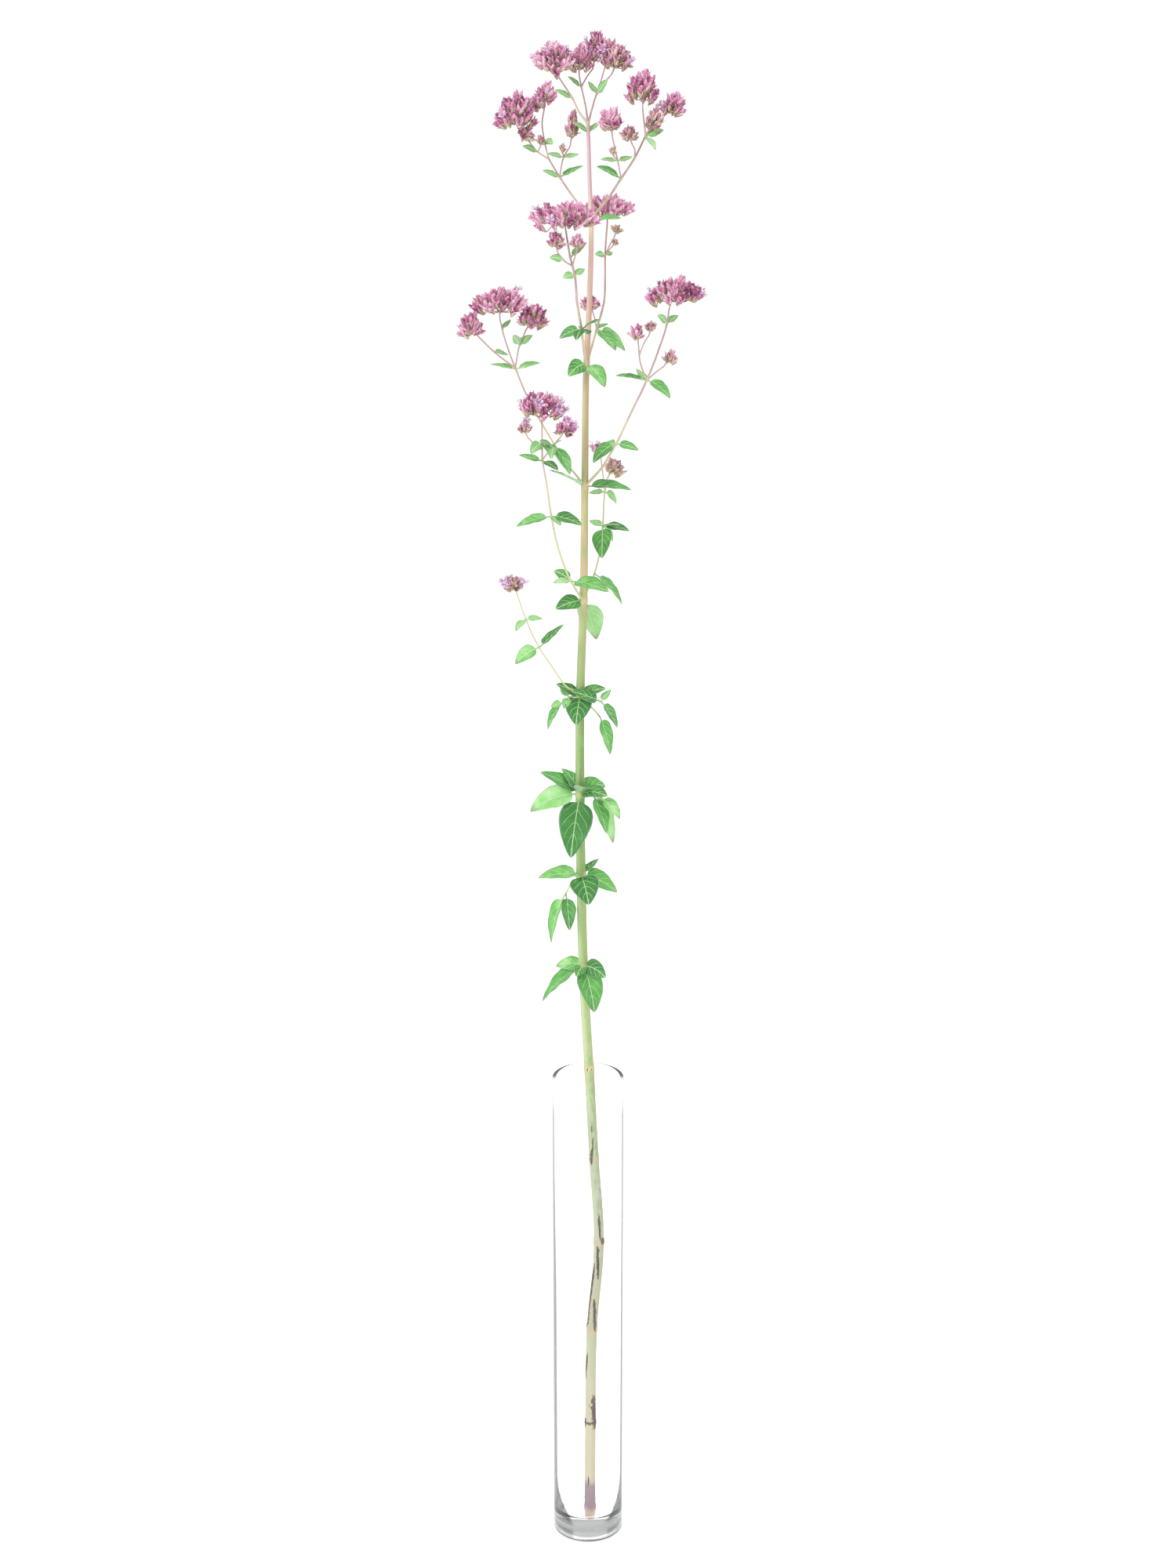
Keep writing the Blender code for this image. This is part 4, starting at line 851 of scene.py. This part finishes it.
def addLeaf(points, faces, numbers, foot, leaf, draw):  # adds one closed, folded and quilted blade
    _, _, azimuth, pitch, longMm, width, sag, turn, *chosen = leaf
    shape, width = leafShape, width * mm
    begin = shape["petioleShare"]
    steps = [(1 - math.cos(math.pi * i / shape["rows"])) / 2 for i in range(shape["rows"])]
    shares = [0, 0.05, 0.1, *[begin + (1 - begin) * t for t in steps]]
    course = bladeCourse(foot, azimuth, pitch, longMm * mm, sag, turn, shares + [1])
    columns = (-1, -0.9, -0.7, -0.45, -0.2, 0, 0.2, 0.45, 0.7, 0.9, 1)
    last = len(columns) - 1
    phase, waves = draw.uniform(0, 6.28), draw.uniform(2.0, 3.2)
    drawn, young = draw.uniform(-0.25, 0.5), 1.0 if longMm < shape["youngBelow"] else 0.0
    tone = chosen[0] if chosen else drawn
    folding = shape["fold"] * draw.uniform(0.85, 1.25)

    def add(place, across, along, under, reach):
        points.append(place)
        for key, value in (("across", across), ("along", along), ("under", under), ("tone", tone), ("young", young),
                           ("reach", reach), ("span", longMm)):
            numbers.setdefault(key, []).append(value)
        return len(points) - 1

    grid = []
    for share, (place, side, normal) in zip(shares, course):
        half = bladeHalfWidth(share, width)
        t = max(0.0, (share - begin) / (1 - begin))
        blade = min(1.0, t * 8) * min(1.0, (1 - t) * 6)
        upper, lower = [], []
        for k, a in enumerate(columns):
            reach = a * half
            fold = (math.hypot(reach, shape["foldRound"]) - shape["foldRound"]) * folding
            curl = -shape["curl"] * half * a**4
            wave = shape["wave"] * half * abs(a) ** 3 * math.sin(waves * 2 * math.pi * t + phase + (a > 0) * 1.7)
            order = share * leafVeins["count"] - abs(a) ** 1.2 * leafVeins["slant"] + 0.25
            quilt = shape["quilt"] * math.cos(2 * math.pi * order) * (1 - a * a) * min(1, width / (9 * mm))
            groove = -shape["ribGroove"] * math.exp(-((reach / shape["ribWidth"]) ** 2))
            middle = place + side * reach + normal * (fold + (curl + wave + quilt + groove) * blade)
            thick = shape["petioleThick"] + (shape["bladeThick"] - shape["petioleThick"]) * min(1, t * 6)
            thick *= math.sqrt(max(0, 1 - a * a)) * min(1, 0.25 + (1 - share) * 8)
            rim = k in (0, last)
            upper.append(add(middle + normal * thick, a, share, 0.5 if rim else 0.0, abs(reach) / mm))
            lower.append(upper[k] if rim else add(middle - normal * thick, a, share, 1.0, abs(reach) / mm))
        grid.append((upper, lower))
    tip = add(course[-1][0], 0, 1, 0.5, 0)
    for (upper, lower), (nextUpper, nextLower) in zip(grid, grid[1:]):
        for k in range(last):
            faces.append((upper[k], upper[k + 1], nextUpper[k + 1], nextUpper[k]))
            faces.append((lower[k], nextLower[k], nextLower[k + 1], lower[k + 1]))
    upper, lower = grid[-1]
    for k in range(last):
        faces.append((upper[k], upper[k + 1], tip))
        faces.append((lower[k], tip, lower[k + 1]))
    upper, lower = grid[0]
    for k in range(last):  # the petiole's foot, closed inside its stalk
        faces.append(tuple(dict.fromkeys((upper[k], lower[k], lower[k + 1], upper[k + 1]))))


def sprayFoot(joint, towards, stalkRadius):  # in the axil above a joint, beside the main stem
    x, y, z, stemRadius = mainRoute[joint]
    centre = Vector((x, y, z)) * mm
    outward = ((towards - centre) * Vector((1, 1, 0))).normalized()
    clear = (stemRadius + stalkRadius) * mm + stalkShape["gap"]
    return centre + outward * clear + Vector((0, 0, stalkShape["axilRise"])), centre, outward


def stalkCourses(spec):  # each stalk's route in metres
    courses = {key: [Vector(p) * mm for p in route] for key, (_, _, route) in spec["stalks"].items()}
    if spec["joint"]:
        courses["a"].insert(0, sprayFoot(spec["joint"], courses["a"][0], spec["stalks"]["a"][0])[0])
    return courses


def leafFoot(courses, leaf):
    course, index = courses[leaf[0]], int(leaf[1])
    if index < len(course) - 1:
        return course[index]
    return course[-1] - (course[-1] - course[-2]).normalized() * leafShape["tipSink"]


def stalkLines(spec, courses):  # the guide lines of a leafy stem's stalks
    shape = stalkShape
    knots = [leafFoot(courses, leaf) for leaf in spec["leaves"]]
    knots += [course[0] for key, course in courses.items() if key not in ("a", "main")]
    lines = []
    for key, (thick, thin, _) in spec["stalks"].items():
        route = list(courses[key])
        if key == "a" and spec["joint"]:  # the foot runs into the main stem just above its joint
            foot, centre, outward = sprayFoot(spec["joint"], route[1], thick)
            route.insert(0, centre + outward * 0.6 * mm + Vector((0, 0, 0.2 * mm)))
        radii = np.linspace(thick, thin, len(route)) * mm * shape["slender"]
        if not spec["joint"] and key != "d":  # the top stalks leave the stem's end as thick as it is there
            radii[0] = max(radii[0], shape["topFoot"])
        places, radii = smoothPath(route, radii, shape["step"])
        radii, near = swollen(places, radii, knots, shape["swelling"], shape["swellReach"])
        lines.append((places, radii, {"joint": near, "along": np.linspace(0 if key == "a" else 0.5, 1, len(places))}))
    return lines


stalks = stalkTree()


def buildLeafyStalks(title, bladesTitle, node, spec, courses):
    points, faces, numbers, draw = [], [], {}, random.Random(f"{bladesTitle} {seed}")
    for leaf in spec["leaves"]:
        addLeaf(points, faces, numbers, leafFoot(courses, leaf), leaf, draw)
    blades = meshWith(bladesTitle, points, [], faces, numbers)
    blades.shade_smooth()
    blades.materials.append(leafFinish)
    leaves = addObject(bladesTitle, blades)
    points, edges, numbers = linesMesh(stalkLines(spec, courses))
    mesh = grow(title, meshWith(title, points, edges, [], numbers), stalks, {
        "Leaves": leaves, "Sides": stalkShape["sides"], "Squareness": stalkShape["squareness"], "Skin": twigFinish})
    bpy.data.objects.remove(leaves)
    finishPiece(title, mesh, "foliage", node)


def buildMainStem():
    shape, route = stalkShape, [p[:3] for p in mainRoute]
    places, radii = smoothPath(route, [p[3] * np.interp(p[2], *shape["mainGirth"]) for p in mainRoute],
                               shape["mainStep"])
    radii, near = swollen(places, radii, [route[i] for i in mainJoints], shape["jointSwelling"], shape["jointReach"])
    places, radii = places * mm, radii * mm
    places[0] = places[0] + (places[1] - places[0]) * 0.7  # clear of the bowl
    foot = places[0] - (places[1] - places[0]) * 0.4
    rise = np.array([[0, 0, h] for h in (0.9, 1.5, 1.8)]) * mm  # a rounded top where the stem ends in its fork
    places = np.vstack([foot, places, places[-1:] + rise])
    radii = np.concatenate([[radii[0] * 0.55], radii, radii[-1] * np.array([0.92, 0.68, 0.3])])
    near = np.concatenate([[0], near, [0.5] * 3])
    points, edges, numbers = linesMesh([(places, radii, {"joint": near})])
    stem = grow("mainStem", meshWith("mainStem", points, edges, [], numbers), stalks, {
        "Sides": shape["mainSides"], "Squareness": shape["squareness"], "Skin": stemFinish})
    finishPiece("mainStem", stem, "stem", "main_stem")

    spec = readStem("main_stem")
    courses = {**stalkCourses(spec), "main": [Vector(p) * mm for p in route]}
    buildLeafyStalks("mainLeaves", "mainLeafBlades", "main_stem", spec, courses)


# flower heads

bractShape = {"length": 0.64, "half": 0.165, "bulge": 0.21, "cup": 0.08, "thick": 0.014}
spikeletShape = {"bracts": 12, "lowLean": 0.26, "highLean": 0.18, "uneven": 0.24, "lowSize": 0.78, "highSize": 1.0,
                 "rise": 0.34, "twist": 0.16, "more": 2.2, "longest": 7.6 * mm, "widest": 2.2 * mm,
                 "templateRadius": 0.28, "tuftDrop": (-0.28, 0.12), "tuftPull": 0.1, "tuftTones": (-0.4, 0.4),
                 "tuftTone": 0.7, "tones": (-0.35, 0.35), "lengths": (0.86, 1.06), "widths": (0.85, 1.1),
                 "stray": (-0.14, 0.14)}
headShape = {"depthShare": 0.8, "forkShare": 0.3, "upright": 0.4, "neck": 0.34 * mm, "ray": 0.27 * mm,
             "rayTip": 0.23 * mm, "raySquareness": 0.04, "raySides": 6, "rayStep": 0.9 * mm, "spread": 1.12,
             "perTuft": 3.2, "hubSpread": 0.86, "hubHeight": -0.25, "hubDrop": 0.55, "hubShare": 0.74,
             "leastRay": 1.5 * mm, "raySag": 0.12, "swelling": 0.45, "swellReach": 0.7 * mm, "dome": 0.95,
             "ragged": (-0.2, 0.08), "bractlet": (4.6 * mm, 6.0 * mm), "bractletLean": 0.8,
             "bractletTones": (-0.4, 0.4), "flower": (4.8 * mm, 4.8 * mm), "flowerLean": 0.8, "young": 0.08}


def crescent(points, faces, marks, rows, tip, turn, foot):  # a closed pointed scale, thin and curved across
    ids = []
    for share, half, out, cup, thick, up in rows:
        corners = [(-half, out - cup, up, -1), (0, out, up, 0), (half, out - cup, up, 1), (0, out - thick, up, 0)]
        ids.append(list(range(len(points), len(points) + 4)))
        points += [foot + turn @ Vector(corner[:3]) for corner in corners]
        marks += [(share, corner[3]) for corner in corners]
    end = len(points)
    points.append(foot + turn @ Vector(tip))
    marks.append((1, 0))
    faces.append(ids[0])
    for low, high in zip(ids, ids[1:]):
        faces += [(low[(k + 1) % 4], low[k], high[k], high[(k + 1) % 4]) for k in range(4)]
    faces += [(ids[-1][(k + 1) % 4], ids[-1][k], end) for k in range(4)]


def templateOf(name, points, faces, marks, **numbers):
    along, across = zip(*marks)
    return addObject(name, meshWith(name, points, [], faces, {"along": along, "across": across, **numbers}))


def makeBract():
    b, sheet, points, faces, marks = bractShape, [], [], [], []
    for share in (0, 0.22, 0.48, 0.72, 0.89):
        width = math.sin(math.pi * (0.08 + 0.92 * share) ** 0.85) ** 0.62
        out = b["bulge"] * share**0.75 * (1.46 - 0.74 * share)
        sheet.append((share, b["half"] * width, out, b["cup"] * width * width, b["thick"] * 2 * (1 - share * 0.5),
                      b["length"] * share))
    upright = Vector((0, 0, 0)).to_track_quat("Z", "Y").to_matrix()
    crescent(points, faces, marks, sheet, (0, b["bulge"] * 0.68, b["length"]), upright, Vector())
    return templateOf("bractTemplate", points, faces, marks)


def rotation(x, z):
    return Euler((0, 0, math.radians(z))).to_matrix() @ Euler((math.radians(x), 0, 0)).to_matrix()


def makeFlower():  # a two-lipped flower 1 unit long: tube, four lobes, four stamens
    points, faces, marks, sides = [], [], [], 7
    for r, (z, radius) in enumerate([(-0.25, 0.07), (0.1, 0.09), (0.42, 0.13), (0.55, 0.18)]):
        for a in np.arange(sides) * 2 * math.pi / sides:
            points.append(Vector((math.cos(a) * radius, math.sin(a) * radius, z)))
            marks.append((0.2 * r, 0))
    for r in range(0, 3 * sides, sides):
        faces += [(r + k, r + (k + 1) % sides, r + sides + (k + 1) % sides, r + sides + k) for k in range(sides)]
    faces += [tuple(range(sides))[::-1], tuple(range(3 * sides, 4 * sides))]
    lobes = [(0, 28, 0.46, 0.2), (118, 68, 0.44, 0.17), (180, 74, 0.5, 0.2), (242, 68, 0.44, 0.17)]
    for azimuth, lean, length, half in lobes:  # the first is the upper lip, nearly upright
        sheet = [(s, half * w, 0.05 * math.sin(math.pi * s), 0.05 * w, 0.018, length * s)
                 for s, w in ((0.0, 0.45), (0.35, 0.85), (0.7, 1.0), (0.92, 0.62))]
        foot = rotation(0, azimuth) @ Vector((0, 0.15, 0.5))
        crescent(points, faces, marks, sheet, (0, 0.0, length * 0.98), rotation(-lean, azimuth), foot)
    petals = len(points)
    for azimuth, lean, length in ((35, 14, 0.62), (-35, 14, 0.62), (60, 26, 0.5), (-60, 26, 0.5)):
        sheet = [(s, w, w * 0.5, 0.0, w, length * s)
                 for s, w in ((0.0, 0.014), (0.86, 0.014), (0.9, 0.045), (0.97, 0.04))]
        foot = rotation(0, azimuth) @ Vector((0, 0.05, 0.4))
        crescent(points, faces, marks, sheet, (0, 0, length), rotation(-lean, azimuth), foot)
    stamen = [0.0] * petals + [1.0] * (len(points) - petals)
    return templateOf("flowerTemplate", points, faces, marks, stamen=stamen)


bractTemplate, flowerTemplate, heads = makeBract(), makeFlower(), headTree()


def buildHead(row, courses):
    name, stalk, x, y, z, halfWide, halfHigh, few, openCount, *young = row
    nodes = [] if name[0] == "+" else [name]
    name, stalk = name.strip("+"), courses[stalk]
    shape, spikelet, draw = headShape, spikeletShape, random.Random(f"{name} {seed}")
    middle = Vector((x, y, z)) * mm
    reach = Vector((halfWide, halfWide * shape["depthShare"], halfHigh)) * mm
    onward = (stalk[-1] - stalk[-2]).normalized()
    fork = (stalk[-1] + onward * stalkShape["gap"]).lerp(middle, shape["forkShare"])
    count = max(4, round(few * spikelet["more"]))
    spacing = math.sqrt(math.pi * reach.x * reach.y / count)
    marks = {"kind": [], "wide": [], "tall": [], "tone": [], "spin": []}
    spots, axes, lines = [], [], []

    def mark(kind, place, axis, wide, tall, tone):
        spots.append(place)
        axes.append(axis)
        for key, value in zip(marks, (kind, wide, tall, tone, draw.uniform(0, 2 * math.pi))):
            marks[key].append(value)

    def line(knots, radii, joints):  # rays take the colour of a stalk's upper end
        places, radii = smoothPath(knots, radii, shape["rayStep"])
        radii, near = swollen(places, radii, joints, shape["swelling"], shape["swellReach"])
        lines.append((places, radii, {"joint": near, "along": np.full(len(places), 0.85)}))

    line([stalk[-1] - onward * 0.4 * mm, fork], [shape["neck"]] * 2, [fork])
    groups = max(1, round(count / shape["perTuft"]))
    hubs, tufts = [], []
    for g in range(groups):  # the second forks, one below each tuft of spikelets
        out, angle = math.sqrt((g + 0.5) / groups) * shape["hubSpread"], g * goldenAngle
        height = shape["hubHeight"] - shape["hubDrop"] * out * out
        hub = middle + Vector((math.cos(angle) * out, math.sin(angle) * out, height)) * reach
        hub = fork.lerp(hub, shape["hubShare"])
        hubs.append(hub)
        tufts.append((draw.uniform(*spikelet["tuftDrop"]), draw.uniform(*spikelet["tuftTones"])))
        if (hub - fork).length > shape["leastRay"]:
            bend = fork.lerp(hub, 0.5) + Vector((0, 0, -shape["raySag"])) * (hub - fork).length
            line([fork, bend, hub], [shape["ray"], shape["ray"], shape["rayTip"]], [fork, hub])
            for turn in (-1, 1):  # a pair of small leafy bracts at the fork
                aside = (hub - fork).cross(Vector((0, 0, 1))).normalized() * turn
                axis = ((hub - fork).normalized() + aside * shape["bractletLean"]).normalized()
                mark(3, hub, axis, *shape["bractlet"], draw.uniform(*shape["bractletTones"]))
    opened = set(draw.sample(range(count // 4, count), min(int(openCount), count - count // 4)))
    for i in range(count):
        out, angle = math.sqrt((i + 0.5) / count) * shape["spread"], i * goldenAngle
        height = 1 - shape["dome"] * out * out + draw.uniform(*shape["ragged"])
        tip = middle + Vector((math.cos(angle) * out, math.sin(angle) * out, height)) * reach
        hub = min(hubs, key=lambda place: (place - tip).length)
        drop, tuftTone = tufts[hubs.index(hub)]
        tip = tip + (hub - tip) * Vector((1, 1, 0)) * spikelet["tuftPull"] + Vector((0, 0, drop * reach.z))
        away = (tip - fork).normalized() * (1 - shape["upright"]) + Vector((0, 0, shape["upright"]))
        away = (away.normalized() + Vector([draw.uniform(*spikelet["stray"]) for _ in range(3)])).normalized()
        length = min(spikelet["longest"] * draw.uniform(*spikelet["lengths"]), (tip - fork).length * 0.8)
        radius = min(spikelet["widest"] * draw.uniform(*spikelet["widths"]), spacing * 0.8)
        base = tip - away * length
        tone = tuftTone * spikelet["tuftTone"] + draw.uniform(*spikelet["tones"])
        line([hub, base, base + away * length * 0.2], [shape["rayTip"] * girth for girth in (1, 1.3, 1.5)], [base])
        mark(1, base, away, radius / spikelet["templateRadius"], length, tone)
        if i in opened:
            outward = Vector((math.cos(angle), math.sin(angle), 0.5 + draw.uniform(-0.3, 0.3)))
            facing = (away + outward * shape["flowerLean"]).normalized()
            mark(2, base + away * length * 0.55, facing, *shape["flower"], tone)
    points, edges, numbers = linesMesh(lines)
    size = len(points)
    for key in {**numbers, **marks}:
        numbers[key] = [*numbers.get(key, [0.0] * size), *marks.get(key, [0.0] * len(spots))]
    guide = meshWith(name, [*points, *spots], edges, [], numbers, [(0, 0, 1)] * size + [tuple(a) for a in axes])
    mesh = grow(pieceName(name), guide, heads, {
        "Bract": bractTemplate, "Flower": flowerTemplate, "Bracts": spikelet["bracts"],
        "Low lean": spikelet["lowLean"], "High lean": spikelet["highLean"], "Uneven": spikelet["uneven"],
        "Low size": spikelet["lowSize"], "High size": spikelet["highSize"], "Rise": spikelet["rise"],
        "Young": young[0] if young else shape["young"], "Sides": shape["raySides"], "Ray skin": twigFinish,
        "Bract skin": bractFinish, "Petal skin": petalFinish})
    finishPiece(pieceName(name), mesh, "flowers", *nodes)


buildMainStem()
for name in plant:
    spec = readStem(name)
    courses = stalkCourses(spec)
    if name != "main_stem":
        buildLeafyStalks(pieceName(name), pieceName(name) + "Blades", name, spec, courses)
    for row in rows(plant[name]["heads"]):
        buildHead(row, courses)
for template in (bractTemplate, flowerTemplate):
    bpy.data.objects.remove(template)
